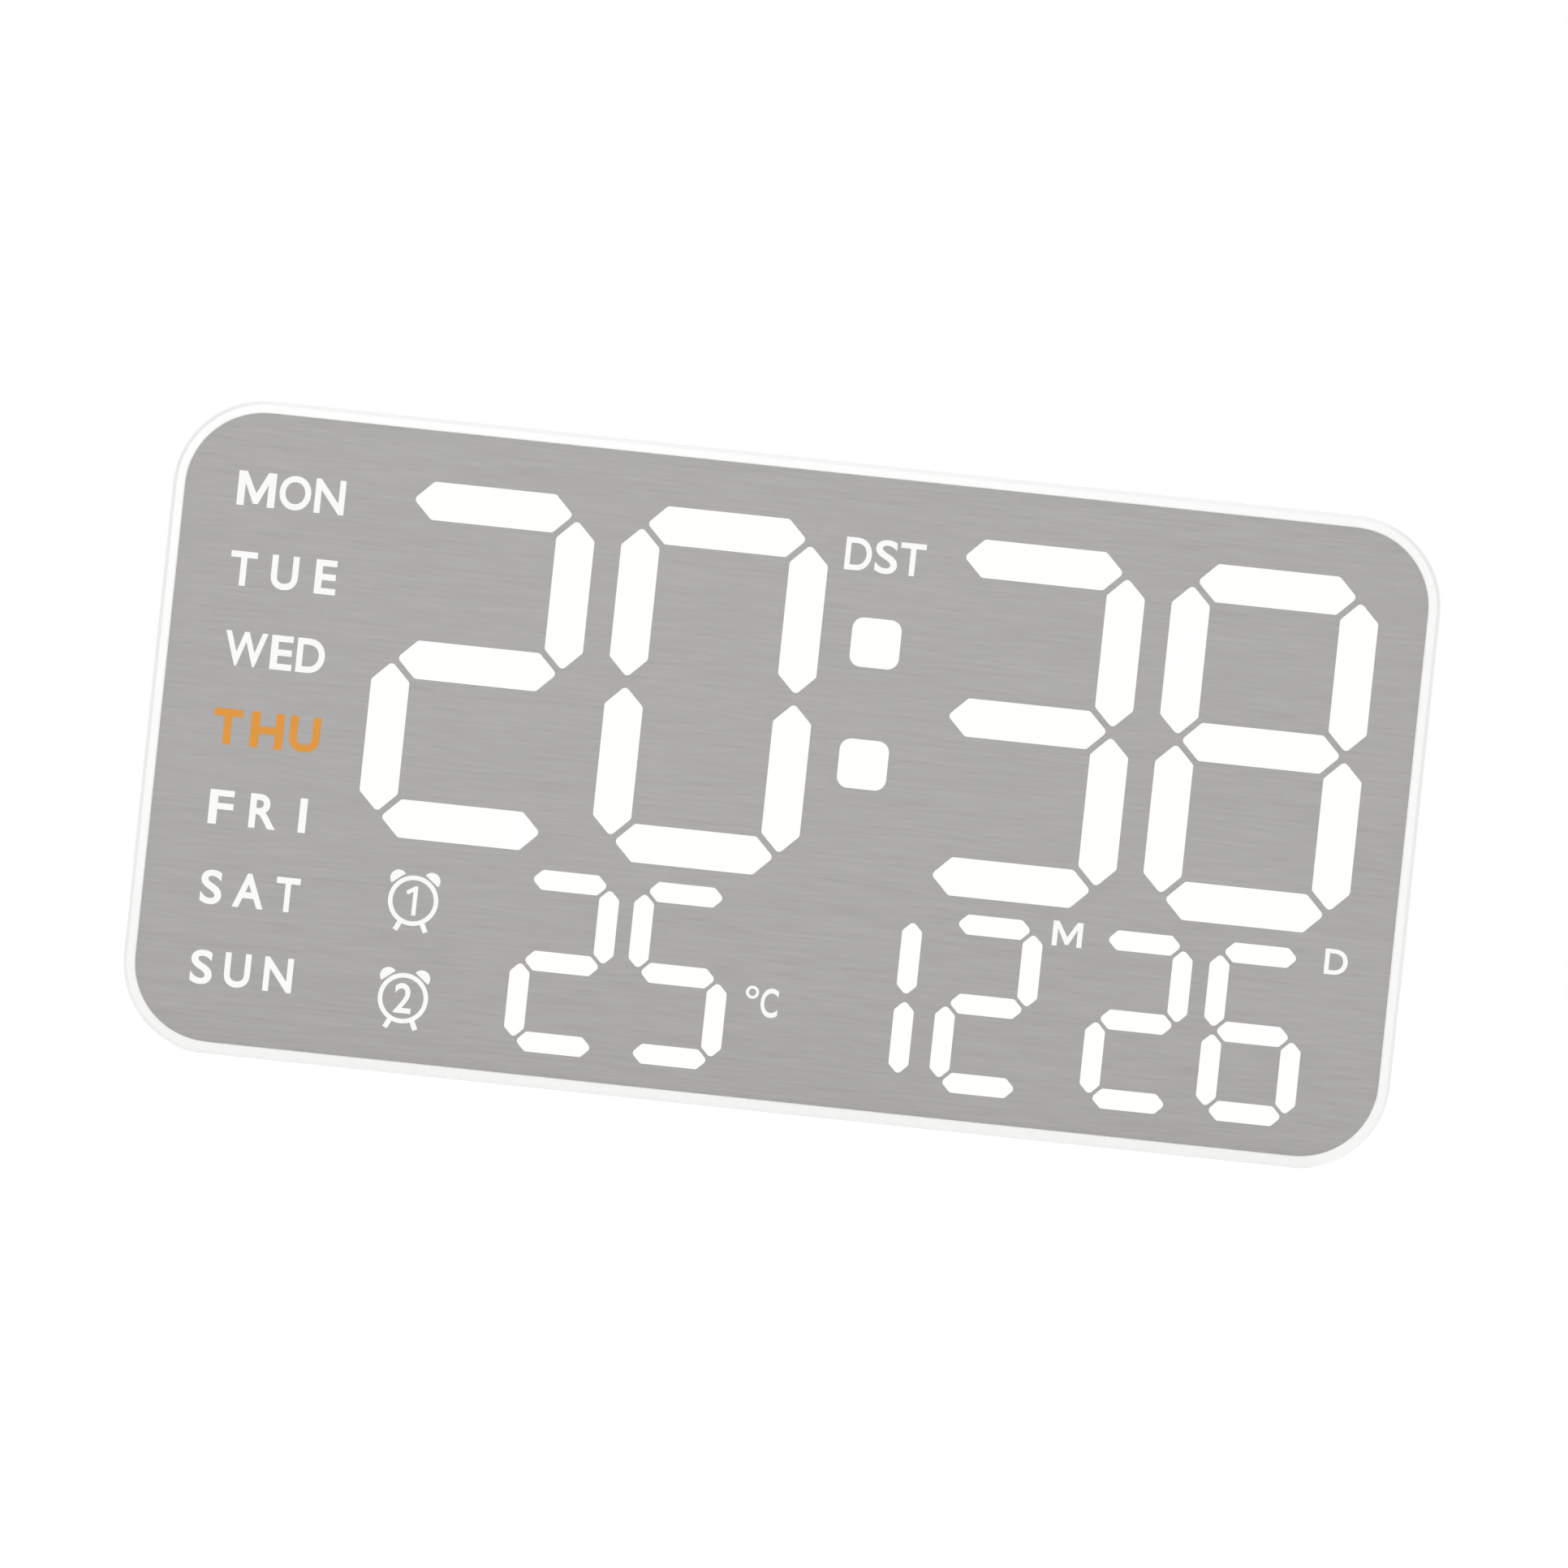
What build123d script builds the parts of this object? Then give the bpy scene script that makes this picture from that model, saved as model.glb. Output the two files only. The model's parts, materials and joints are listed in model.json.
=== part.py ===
from build123d import *
from collections import namedtuple
from math import atan, degrees, sqrt
import os

# A digital wall clock with large lit digits, hung from two keyholes or stood on its folding leg.
# Sizes are in millimetres. X runs to the right as the clock is read and Z runs up. The wall is the
# plane Y = 0 behind the clock and the face looks along -Y. A depth is measured forwards from the wall.

# Time digits: seven segments each, measured between the segments' centre lines
TIME_COLUMNS = 29.9
TIME_ROWS = 28.2
TIME_STROKE = 6.75
TIME_GAP = 1.3
TIME_SPACE = 4.8
TIME_TEXT = "20:38"

# The colon's two dots
COLON_DOT = 8.75
COLON_ROUND = 2.0
COLON_PITCH = 21.5
COLON_RISE = 0.55
COLON_SPACE = 5.45

# Temperature and date digits
TEMPERATURE_COLUMNS = 14.4
TEMPERATURE_ROWS = 14.35
TEMPERATURE_SPACE = 2.75
TEMPERATURE_TEXT = "25"
DATE_COLUMNS = 14.1
DATE_ROWS = 14.05
DATE_SPACE = 3.1
MONTH_TEXT = "2"
DAY_TEXT = "26"
LEADING_ONE_SPACE = 3.85
SMALL_STROKE = 3.45
SMALL_GAP = 0.9

# Lit words and signs beside the digits
WEEKDAY_WIDTH = 19.0
WEEKDAY_HEIGHT = 6.0
WEEKDAY_PITCH = 14.15
WEEKDAY_COUNT = 7
SUMMER_SIGN_WIDTH = 14.2
SUMMER_SIGN_HEIGHT = 5.8
SUMMER_SIGN_DROP = 1.5
ALARM_SIGN = 9.1
ALARM_SIGN_HEIGHT = 10.9
ALARM_SIGN_PITCH = 17.4
DEGREE_SIGN_WIDTH = 5.7
DEGREE_SIGN_HEIGHT = 5.3
DEGREE_SIGN_DROP = 3.1
DATE_MARK_WIDTH = 5.0
DATE_MARK_HEIGHT = 4.5

# Margins and gaps of the face
LEFT_MARGIN = 9.5
RIGHT_MARGIN = 8.7
TOP_MARGIN = 9.1
BOTTOM_MARGIN = 4.35
WEEKDAY_SPACE = 7.95
ROW_SPACE = 3.05
ALARM_SPACE = 14.85
TEMPERATURE_LEAD = 13.75
DEGREE_LEAD = 3.6
MONTH_LEAD = 20.45
DATE_MARK_LEAD = 1.9
DAY_LEAD = 2.2

# Case
RIM = 2.0
WALL = 2.0
CASE_DEPTH = 27.0
CASE_CORNER = 16.0
FRONT_EDGE = 0.7
REAR_EDGE = 2.5
COVER_DEPTH = 9.0
LIP_HEIGHT = 1.6
LIP_WALL = 1.2
LIP_ROOT = 2.5
PARTING_GAP = 0.2
FIT = 0.15
RIB = 1.2
DISC_SIDES = 8

# Display stack, from the face inwards
FILM_RECESS = 0.3
FILM = 0.25
PANEL = 2.0
TAPE = 0.2
LEDGE = 1.5
LEDGE_WIDTH = 2.5
BOX_PLATE = 1.4
BOX_WALL = 1.2
BOX_FLANGE = 1.5
BOARD = 1.6
BOARD_FIT = 0.4
BOARD_ROOM = 1.15
LED_SIZE = 1.6
LED_HEIGHT = 0.7
LED_PITCH = 30.0
LED_FIT = 0.3

# Screws: head radius, head height, shank radius
CASE_HEAD = 2.2
CASE_HEAD_HEIGHT = 1.6
CASE_SHANK = 1.3
CASE_SCREW_LENGTH = 10.0
CASE_SCREW_SEAT = 6.0
BOARD_HEAD = 1.8
BOARD_HEAD_HEIGHT = 1.3
BOARD_SHANK = 0.9
BOARD_SCREW_COVER = 1.6
KEY_SCREW_LENGTH = 5.0
SCREW_FIT = 0.03
SHANK_FIT = 0.2
POST_INSET = 8.5
POST_RADIUS = 2.8
SLEEVE_RADIUS = 3.2
POST_FIT = 0.4
PILOT_SPARE = 1.0
BOSS = 4.0

# Battery bay and its sliding door
CELL_LENGTH = 44.5
CELL_DIAMETER = 10.5
CELL_COUNT = 3
CELL_PLAY = 0.5
CONTACT_ROOM = 2.5
CONTACT_SHEET = 0.4
CONTACT_WIDTH = 7.0
CONTACT_BUMP = 1.2
CONTACT_BUMP_RADIUS = 1.75
SPRING_REACH = 4.0
BAY_INSET = 5.0
BAY_RISE = 38.9
BAY_WALL = 1.2
DOOR_PLATE = 2.3
DOOR_RECESS = 0.15
DOOR_LAP = 1.6
TONGUE = 1.3
TONGUE_THICK = 1.1
SLIDE_FIT = 0.2
RAIL_WALL = 1.4
GRIP_COUNT = 5
GRIP_PITCH = 2.4
GRIP_WIDTH = 1.1
GRIP_LENGTH = 16.0
GRIP_DEPTH = 0.5
GRIP_INSET = 8.0
TAIL_WIDTH = 2.0
TAIL_FIT = 0.2

# Keyholes for two wall screws
KEYHOLE_SPACING = 140.0
KEYHOLE_DROP = 26.0
KEYHOLE_RADIUS = 4.0
KEYHOLE_SLOT = 4.0
KEYHOLE_TRAVEL = 7.0
KEYHOLE_ROOM = 4.5
KEYHOLE_MARGIN = 1.4
POCKET_WALL = 1.2

# Push buttons on the back and their switch board
BUTTON_NAMES = ("set", "alarm", "up", "down")
BUTTON_PITCH = 17.0
BUTTON_WIDTH = 11.0
BUTTON_HEIGHT = 6.0
BUTTON_CORNER = 1.2
BUTTON_EDGE = 0.5
BUTTON_DROP = 17.9
BUTTON_FIT = 0.25
BUTTON_TRAVEL = 0.3
BUTTON_SINK = 0.35
BUTTON_FLANGE = 1.2
BUTTON_FLANGE_THICK = 1.0
BUTTON_STEM = 1.5
STEM_LENGTH = 0.5
STRIP_DEPTH = 1.6
STRIP_MARGIN = 3.5
STRIP_CORNER = 2.0
STRIP_FLOOR = 1.8
SWITCH_SIZE = 6.0
SWITCH_BODY = 3.5
PLUNGER_RADIUS = 1.6
PLUNGER_REACH = 1.0
PLUNGER_SINK = 1.4
PLUNGER_FIT = 0.15
KEY_POST = 4.6
KEY_POST_SPACE = 4.5
KEY_BOARD_HEIGHT = 12.0

# Folding leg
LEG_WIDTH = 34.0
LEG_DEPTH = 4.4
LEG_SKIN = 1.8
LEG_RIM = 1.8
LEG_TOE = 5.0
LEG_ROUND = 5.0
LEG_RECESS = 0.4
LEG_FIT = 0.4
LEG_ROOM = 0.8
LEG_CLEARANCE = 1.2
PIVOT_RISE = 54.0
BARREL_RADIUS = 2.3
PIN_RADIUS = 1.0
PIN_FIT = 0.05
PIN_SEAT = 0.02
TUB_WALL = 1.6
PAD_WIDTH = 22.0
PAD_DEPTH = 2.4
PAD_LENGTH = 2.4
PAD_PROUD = 0.6

# Power socket in the side wall
SOCKET_RISE = 35.9
SOCKET_WIDTH = 8.94
SOCKET_HEIGHT = 3.26
SOCKET_LENGTH = 7.35
SOCKET_SHEET = 0.3
SOCKET_ROUND = 1.5
TONGUE_PLATE = 0.7
TONGUE_PLATE_WIDTH = 6.7
TONGUE_PLATE_SHORT = 1.3
PLUG_WIDTH = 12.4
PLUG_HEIGHT = 6.6
PLUG_ROUND = 3.0

# Parts on the back of the display board
CHIP_LENGTH = 10.3
CHIP_WIDTH = 7.5
CHIP_HEIGHT = 2.4
CHIP_LEADS = 6
DRIVER_LENGTH = 5.0
DRIVER_WIDTH = 4.0
DRIVER_HEIGHT = 1.0
DRIVER_PITCH = 40.0
LEAD_FRAME_PITCH = 1.27
LEAD_FRAME_WIDTH = 0.45
LEAD_FRAME_REACH = 1.2
LEAD_FRAME_THICK = 0.3
CRYSTAL_LENGTH = 11.0
CRYSTAL_WIDTH = 4.6
CRYSTAL_HEIGHT = 3.4
CAPACITOR_RADIUS = 3.15
CAPACITOR_HEIGHT = 5.8
CAPACITOR_BASE = 6.6
CAPACITOR_BASE_HEIGHT = 1.0
CAPACITOR_PITCH = 9.0
BUZZER_RADIUS = 6.0
BUZZER_HEIGHT = 6.0
BUZZER_HOLE = 1.25
BUZZER_HOLE_DEPTH = 2.0
SENSOR_DISC = 1.9
SENSOR_THICK = 1.6
SENSOR_LEG = 0.5
SENSOR_LEG_PITCH = 1.6
SENSOR_REACH = 7.0
HEADER_PINS = 6
HEADER_PITCH = 2.54
HEADER_PIN = 0.64
HEADER_DEPTH = 2.5
CHIP_ROW = 20.0
PARTS_COLUMN = 62.0
BUZZER_DROP = 12.0
CAPACITOR_COLUMN = 88.0
SENSOR_COLUMN = 84.0
SENSOR_RISE = 15.0

# Openings in the rear cover for sound and air
SOUND_COUNT = 5
VENT_COUNT = 6
SLOT_PITCH = 3.4
SLOT_WIDTH = 1.6
SLOT_LENGTH = 11.0

# Pillars of the rear cover that press on the display board
PILLAR = 6.0
PILLAR_COLUMN = 50.0
PILLAR_INSET = 9.0

# Sizes that follow from the driving ones
time_width = TIME_COLUMNS + TIME_STROKE
temperature_width = TEMPERATURE_COLUMNS + SMALL_STROKE
date_width = DATE_COLUMNS + SMALL_STROKE
time_height = 2 * TIME_ROWS + TIME_STROKE
lower_height = 2 * TEMPERATURE_ROWS + SMALL_STROKE
time_block = 4 * time_width + 2 * TIME_SPACE + 2 * COLON_SPACE + COLON_DOT
face_width = LEFT_MARGIN + WEEKDAY_WIDTH + WEEKDAY_SPACE + time_block + RIGHT_MARGIN
face_height = TOP_MARGIN + time_height + ROW_SPACE + lower_height + BOTTOM_MARGIN
case_width = face_width + 2 * RIM
case_height = face_height + 2 * RIM
side = case_width / 2
bottom = -case_height / 2
top = case_height / 2

# Depths: the display board lies in front of the battery bay, and the light box fills what is left
bay_floor = DOOR_PLATE + SLIDE_FIT + CELL_DIAMETER + CELL_PLAY
board_rear = bay_floor + BAY_WALL + BOARD_ROOM
box_rear = board_rear + BOARD
film_front = CASE_DEPTH - FILM_RECESS
panel_front = film_front - FILM
panel_rear = panel_front - PANEL
ledge_front = panel_rear - TAPE
ledge_rear = ledge_front - LEDGE
box_depth = panel_rear - box_rear
well_draft = degrees(atan((SMALL_STROKE / 2 - LED_SIZE / 2 - LED_FIT) / box_depth))
board_screw_length = BOARD + box_depth - BOARD_SCREW_COVER
post_end = COVER_DEPTH + LIP_HEIGHT + POST_FIT

# Places across the face
weekday_left = -face_width / 2 + LEFT_MARGIN
weekday_right = weekday_left + WEEKDAY_WIDTH
hour_left = weekday_right + WEEKDAY_SPACE
colon_x = hour_left + 2 * time_width + TIME_SPACE + COLON_SPACE + COLON_DOT / 2
minute_left = colon_x + COLON_DOT / 2 + COLON_SPACE
minute_right = minute_left + 2 * time_width + TIME_SPACE
alarm_x = weekday_right + ALARM_SPACE + ALARM_SIGN / 2
temperature_left = alarm_x + ALARM_SIGN / 2 + TEMPERATURE_LEAD
temperature_right = temperature_left + 2 * temperature_width + TEMPERATURE_SPACE
degree_x = temperature_right + DEGREE_LEAD + DEGREE_SIGN_WIDTH / 2
leading_one_x = degree_x + DEGREE_SIGN_WIDTH / 2 + MONTH_LEAD + SMALL_STROKE / 2
month_left = leading_one_x + SMALL_STROKE / 2 + LEADING_ONE_SPACE
month_mark_x = month_left + date_width + DATE_MARK_LEAD + DATE_MARK_WIDTH / 2
day_left = month_mark_x + DATE_MARK_WIDTH / 2 + DAY_LEAD
day_right = day_left + 2 * date_width + DATE_SPACE
day_mark_x = day_right + DATE_MARK_LEAD + DATE_MARK_WIDTH / 2

# Heights on the face
time_top = face_height / 2 - TOP_MARGIN - TIME_STROKE / 2
time_z = time_top - TIME_ROWS
lower_top = time_z - TIME_ROWS - TIME_STROKE / 2 - ROW_SPACE - SMALL_STROKE / 2
temperature_z = lower_top - TEMPERATURE_ROWS
date_z = lower_top - DATE_ROWS
post_x = side - POST_INSET
post_z = top - POST_INSET

# Battery bay and door
bay_length = CELL_LENGTH + 2 * CONTACT_ROOM
bay_height = CELL_COUNT * (CELL_DIAMETER + CELL_PLAY) + CELL_PLAY
bay_left = -side + BAY_INSET
bay_right = bay_left + bay_length
bay_z = bottom + BAY_RISE
door_end = bay_right + DOOR_LAP
door_half = bay_height / 2 + DOOR_LAP
tongue_half = door_half + TONGUE
tongue_low = DOOR_PLATE - TONGUE_THICK

# Buttons and their switch board
button_z = top - BUTTON_DROP
strip_width = (len(BUTTON_NAMES) - 1) * BUTTON_PITCH + BUTTON_WIDTH + 2 * STRIP_MARGIN
strip_height = BUTTON_HEIGHT + 2 * STRIP_MARGIN
strip_inner = STRIP_DEPTH + STRIP_FLOOR
flange_low = strip_inner + FIT
flange_high = flange_low + BUTTON_FLANGE_THICK
stem_tip = flange_high + STEM_LENGTH
switch_low = stem_tip + PLUNGER_REACH
key_board_low = switch_low + SWITCH_BODY
key_board_high = key_board_low + BOARD
key_post_x = strip_width / 2 + KEY_POST_SPACE

# Leg and its recess
pivot_z = bottom + PIVOT_RISE
pivot_depth = LEG_RECESS + BARREL_RADIUS
toe_z = bottom + LEG_CLEARANCE
leg_inner = LEG_RECESS + LEG_DEPTH
recess_half = LEG_WIDTH / 2 + LEG_FIT
recess_floor = max(leg_inner, pivot_depth + BARREL_RADIUS) + LEG_ROOM
recess_top = pivot_z + BARREL_RADIUS + LEG_ROOM

# Socket, buzzer and sensor
socket_mouth = side - WALL - FIT
socket_z = bottom + SOCKET_RISE
socket_depth = board_rear - SOCKET_HEIGHT / 2
sensor_z = bottom + SENSOR_RISE
buzzer_z = -BUZZER_DROP

# A lit area of the face: its centre, its turn, its length and width, and whether its ends are pointed
Cell = namedtuple("Cell", "x z turn length width pointed")

LIT = {"0": "abcdef", "1": "bc", "2": "abdeg", "3": "abcdg", "4": "bcfg"}
LIT.update({"5": "acdfg", "6": "acdefg", "7": "abc", "8": "abcdefg", "9": "abcdfg"})
ALL = "abcdefg"


def at(x, z, depth=0.0):
    """Place on the clock, drawn as seen from the front: x right, z up, depth in front of the wall."""
    return Location((x, -depth, z), (90, 0, 0))


def slab(sketch, low, high):
    """Sketch of the face made solid from one depth to another."""
    return extrude(at(0, 0, low) * sketch, amount=high - low)


def outline(inset=0.0):
    """Case outline seen from the front, moved inwards by inset."""
    return RectangleRounded(case_width - 2 * inset, case_height - 2 * inset, CASE_CORNER - inset)


def bar(left, right, low, high):
    """Plain rectangle of the face between two x and two z values."""
    return Pos((left + right) / 2, (low + high) / 2) * Rectangle(right - left, high - low)


def group(solids):
    """Separate solids of one node."""
    return Compound(children=list(solids))


def corners():
    """Signs of the four corners."""
    return [(sx, sz) for sx in (-1, 1) for sz in (-1, 1)]


def disc(radius):
    """Small round section, drawn with flats."""
    return RegularPolygon(radius, DISC_SIDES)


def cut_corners(width, height, cut):
    """Rectangle with its corners cut off at a slant."""
    return chamfer(Rectangle(width, height).vertices(), cut)


def side_strips(edge, width):
    """Strips of one width along the straight sides of the case, edge in from its outline."""
    wide = case_width - 2 * CASE_CORNER
    high = case_height - 2 * CASE_CORNER
    inset = edge + width / 2
    level = [Pos(0, sz * (top - inset)) * Rectangle(wide, width) for sz in (-1, 1)]
    upright = [Pos(sx * (side - inset), 0) * Rectangle(width, high) for sx in (-1, 1)]
    return level + upright


# Lit areas of the face


def digit_cells(x, z, columns, rows, stroke, gap, letters):
    """The named segments of one seven-segment digit centred on x, z."""
    tip = gap * sqrt(2)
    level = columns - tip
    upright = rows - tip
    half = columns / 2
    spots = {
        "a": (0, rows, 0, level),
        "b": (half, rows / 2, 90, upright),
        "c": (half, -rows / 2, 90, upright),
        "d": (0, -rows, 0, level),
        "e": (-half, -rows / 2, 90, upright),
        "f": (-half, rows / 2, 90, upright),
        "g": (0, 0, 0, level),
    }
    cells = []
    for letter in letters:
        dx, dz, turn, length = spots[letter]
        cells.append(Cell(x + dx, z + dz, turn, length, stroke, True))
    return cells


def number_cells(text, left, z, columns, rows, stroke, gap, space, every):
    """Segments of each digit of a number that starts at left: the lit ones, or every one."""
    digits = []
    width = columns + stroke
    for place, figure in enumerate(text):
        x = left + width / 2 + place * (width + space)
        letters = ALL if every else LIT[figure]
        digits.append(digit_cells(x, z, columns, rows, stroke, gap, letters))
    return digits


def time_cells(every=False):
    """Hours, minutes and the colon between them."""
    hours, minutes = TIME_TEXT.split(":")
    size = (TIME_COLUMNS, TIME_ROWS, TIME_STROKE, TIME_GAP, TIME_SPACE, every)
    digits = number_cells(hours, hour_left, time_z, *size)
    digits += number_cells(minutes, minute_left, time_z, *size)
    for step in (-1, 1):
        z = time_z + COLON_RISE + step * COLON_PITCH / 2
        digits.append([Cell(colon_x, z, 0, COLON_DOT, COLON_DOT, False)])
    return digits


def temperature_cells(every=False):
    """Two digits of the room temperature."""
    size = (TEMPERATURE_COLUMNS, TEMPERATURE_ROWS, SMALL_STROKE, SMALL_GAP, TEMPERATURE_SPACE, every)
    return number_cells(TEMPERATURE_TEXT, temperature_left, temperature_z, *size)


def date_cells(every=False):
    """Month, with its leading one of two segments, and day of the month."""
    size = (DATE_COLUMNS, DATE_ROWS, SMALL_STROKE, SMALL_GAP, DATE_SPACE, every)
    digit = (DATE_COLUMNS, DATE_ROWS, SMALL_STROKE, SMALL_GAP)
    digits = [digit_cells(leading_one_x - DATE_COLUMNS / 2, date_z, *digit, LIT["1"])]
    digits += number_cells(MONTH_TEXT, month_left, date_z, *size)
    digits += number_cells(DAY_TEXT, day_left, date_z, *size)
    return digits


def sign_cells():
    """Plain light wells behind the weekdays, the alarm signs and the small marks."""
    weekday_x = (weekday_left + weekday_right) / 2
    middle = (WEEKDAY_COUNT - 1) / 2
    wells = []
    for row in range(WEEKDAY_COUNT):
        wells.append((weekday_x, (middle - row) * WEEKDAY_PITCH, WEEKDAY_WIDTH, WEEKDAY_HEIGHT))
    for step in (-1, 1):
        wells.append((alarm_x, temperature_z + step * ALARM_SIGN_PITCH / 2, ALARM_SIGN, ALARM_SIGN_HEIGHT))
    wells.append((colon_x, time_top - SUMMER_SIGN_DROP, SUMMER_SIGN_WIDTH, SUMMER_SIGN_HEIGHT))
    wells.append((degree_x, temperature_z - DEGREE_SIGN_DROP, DEGREE_SIGN_WIDTH, DEGREE_SIGN_HEIGHT))
    for x in (month_mark_x, day_mark_x):
        wells.append((x, lower_top, DATE_MARK_WIDTH, DATE_MARK_HEIGHT))
    return [[Cell(x, z, 0, wide, high, False)] for x, z, wide, high in wells]


def flat(digits):
    """All lit areas of some digits in one list."""
    return [cell for digit in digits for cell in digit]


def cell_shape(cell):
    """Flat outline of a lit area at its own centre."""
    if not cell.pointed:
        return Rectangle(cell.length, cell.width)
    half = cell.length / 2
    flank = cell.width / 2
    shoulder = half - flank
    return Polygon(
        (-half, 0), (-shoulder, -flank), (shoulder, -flank), (half, 0), (shoulder, flank), (-shoulder, flank)
    )


def window(cell):
    """Window of a segment, or the rounded window of a dot, in its place on the face."""
    shape = cell_shape(cell) if cell.pointed else RectangleRounded(cell.length, cell.width, COLON_ROUND)
    return cell_place(cell) * shape


def cell_place(cell):
    """Place of a lit area in the plane of the face."""
    return Pos(cell.x, cell.z) * Rot(Z=cell.turn)


def block(digit):
    """Rectangle around a digit's lit areas, one wall larger all round."""
    boxes = [(cell_place(c) * cell_shape(c)).bounding_box() for c in digit]
    left = min(b.min.X for b in boxes) - BOX_WALL
    right = max(b.max.X for b in boxes) + BOX_WALL
    low = min(b.min.Y for b in boxes) - BOX_WALL
    high = max(b.max.Y for b in boxes) + BOX_WALL
    return bar(left, right, low, high)


def corner_notches():
    """Corners left free for the case posts."""
    reach = POST_INSET + POST_RADIUS + POST_FIT
    return [
        Pos(sx * (side - reach / 2), sz * (top - reach / 2)) * Rectangle(reach, reach) for sx, sz in corners()
    ]


def board_screw_places():
    """Four places between the lit areas where the board is screwed to the light box."""
    left = (weekday_right + hour_left) / 2
    right = (minute_right + face_width / 2 - LEDGE_WIDTH - FIT) / 2
    below_bay = bay_z - bay_height / 2 - BAY_WALL - BOARD_HEAD - BOARD_FIT
    return [(left, time_z), (left, below_bay), (right, time_z), (right, temperature_z)]


# Face and display stack


def front_frame():
    """White front shell: the rim, the ledge behind the face, the side walls and four screw posts."""
    shell = slab(outline(), COVER_DEPTH + PARTING_GAP, CASE_DEPTH)
    shell = chamfer(shell.faces().sort_by(Axis.Y)[0].edges(), FRONT_EDGE)
    shell -= slab(outline(RIM), ledge_front, CASE_DEPTH)
    shell -= slab(outline(RIM + LEDGE_WIDTH), ledge_rear, ledge_front)
    shell -= slab(outline(WALL), COVER_DEPTH, ledge_rear)
    posts = Sketch()
    for sx, sz in corners():
        here = Pos(sx * post_x, sz * post_z)
        posts += here * disc(POST_RADIUS)
        posts += here * Pos(sx * POST_INSET / 2, 0) * Rectangle(POST_INSET, RIB)
        posts += here * Pos(0, sz * POST_INSET / 2) * Rectangle(RIB, POST_INSET)
    shell += slab(posts & outline(WALL / 2), post_end, ledge_rear)
    pilot_end = CASE_SCREW_SEAT + CASE_SCREW_LENGTH + PILOT_SPARE
    for sx, sz in corners():
        hole = Pos(sx * post_x, sz * post_z) * disc(CASE_SHANK + SCREW_FIT)
        shell -= slab(hole, post_end, pilot_end)
    plug = RectangleRounded(PLUG_HEIGHT, PLUG_WIDTH, PLUG_ROUND)
    shell -= extrude(Plane.YZ.offset(side - 2 * WALL) * Pos(-socket_depth, socket_z) * plug, amount=3 * WALL)
    return shell


def face_film():
    """Brushed film with a window for each lit segment and dot."""
    sheet = outline(RIM + FIT)
    windows = [window(c) for c in flat(time_cells() + temperature_cells() + date_cells())]
    return slab(sheet - windows, panel_front, film_front)


def diffuser_panel():
    """Opal sheet that carries the film and spreads the light."""
    return slab(outline(RIM + FIT), panel_rear, panel_front)


def panel_tape():
    """Adhesive strips that hold the opal sheet on the ledge."""
    strips = side_strips(RIM + FIT, LEDGE_WIDTH - FIT)
    return group(slab(strip, ledge_front, panel_rear) for strip in strips)


def light_box():
    """White reflector: a plate with a block behind every digit and sign, and tapered wells in the blocks."""
    inside = RIM + LEDGE_WIDTH + FIT
    plan = outline(inside) - corner_notches()
    digits = time_cells(True) + temperature_cells(True) + date_cells(True) + sign_cells()
    blocks = Sketch() + [block(digit) for digit in digits]
    bosses = [Pos(x, z) * Rectangle(BOSS, BOSS) for x, z in board_screw_places()]
    body = slab(plan, panel_rear - BOX_PLATE, panel_rear)
    body += slab((blocks + bosses) & plan, box_rear, panel_rear)
    body += slab(plan - (outline(inside + BOX_WALL) - corner_notches()), box_rear, panel_rear)
    flange = outline(WALL + BOARD_FIT) - outline(inside) - corner_notches()
    body += slab(flange, ledge_rear - BOX_FLANGE, ledge_rear)
    for c in flat(digits):
        well = extrude(cell_shape(c), amount=box_depth, taper=well_draft)
        body -= at(c.x, c.z, panel_rear) * Rot(X=180) * Rot(Z=-c.turn) * well
    pilot_end = board_rear + board_screw_length + PILOT_SPARE / 2
    pilots = [Pos(x, z) * disc(BOARD_SHANK + SCREW_FIT) for x, z in board_screw_places()]
    return body - slab(Sketch() + pilots, box_rear, pilot_end)


def led_board():
    """Display board that closes the light box from behind."""
    holes = [Pos(x, z) * disc(BOARD_SHANK + SHANK_FIT) for x, z in board_screw_places()]
    edge = RIM + LEDGE_WIDTH + FIT
    return slab(outline(edge) - corner_notches() - holes, board_rear, box_rear)


def leds(digits):
    """Small light sources on the board, in a row along each lit area."""
    chips = []
    for c in flat(digits):
        count = max(1, round(c.length / LED_PITCH))
        for k in range(count):
            along = (k - (count - 1) / 2) * c.length / count
            spot = cell_place(c) * Pos(along, 0) * Rectangle(LED_SIZE, LED_SIZE)
            chips.append(slab(spot, box_rear, box_rear + LED_HEIGHT))
    return group(chips)


# Parts on the back of the display board


def clock_chip():
    """Chip that keeps the time, with a row of leads on each long side."""
    floor = board_rear - LEAD_FRAME_THICK
    chip = slab(Pos(colon_x, CHIP_ROW) * Rectangle(CHIP_LENGTH, CHIP_WIDTH), board_rear - CHIP_HEIGHT, floor)
    for row in (-1, 1):
        z = CHIP_ROW + row * (CHIP_WIDTH + LEAD_FRAME_REACH) / 2
        for k in range(CHIP_LEADS):
            x = colon_x + (k - (CHIP_LEADS - 1) / 2) * LEAD_FRAME_PITCH
            foot = Pos(x, z) * Rectangle(LEAD_FRAME_WIDTH, LEAD_FRAME_REACH)
            chip += slab(foot, board_rear - CHIP_HEIGHT / 2, board_rear)
    return chip


def driver_chips():
    """Two flat leadless chips that switch the segments."""
    places = [Pos(colon_x + step * DRIVER_PITCH, CHIP_ROW) for step in (-1, 1)]
    body = Rectangle(DRIVER_LENGTH, DRIVER_WIDTH)
    return group(slab(here * body, board_rear - DRIVER_HEIGHT, board_rear) for here in places)


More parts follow.
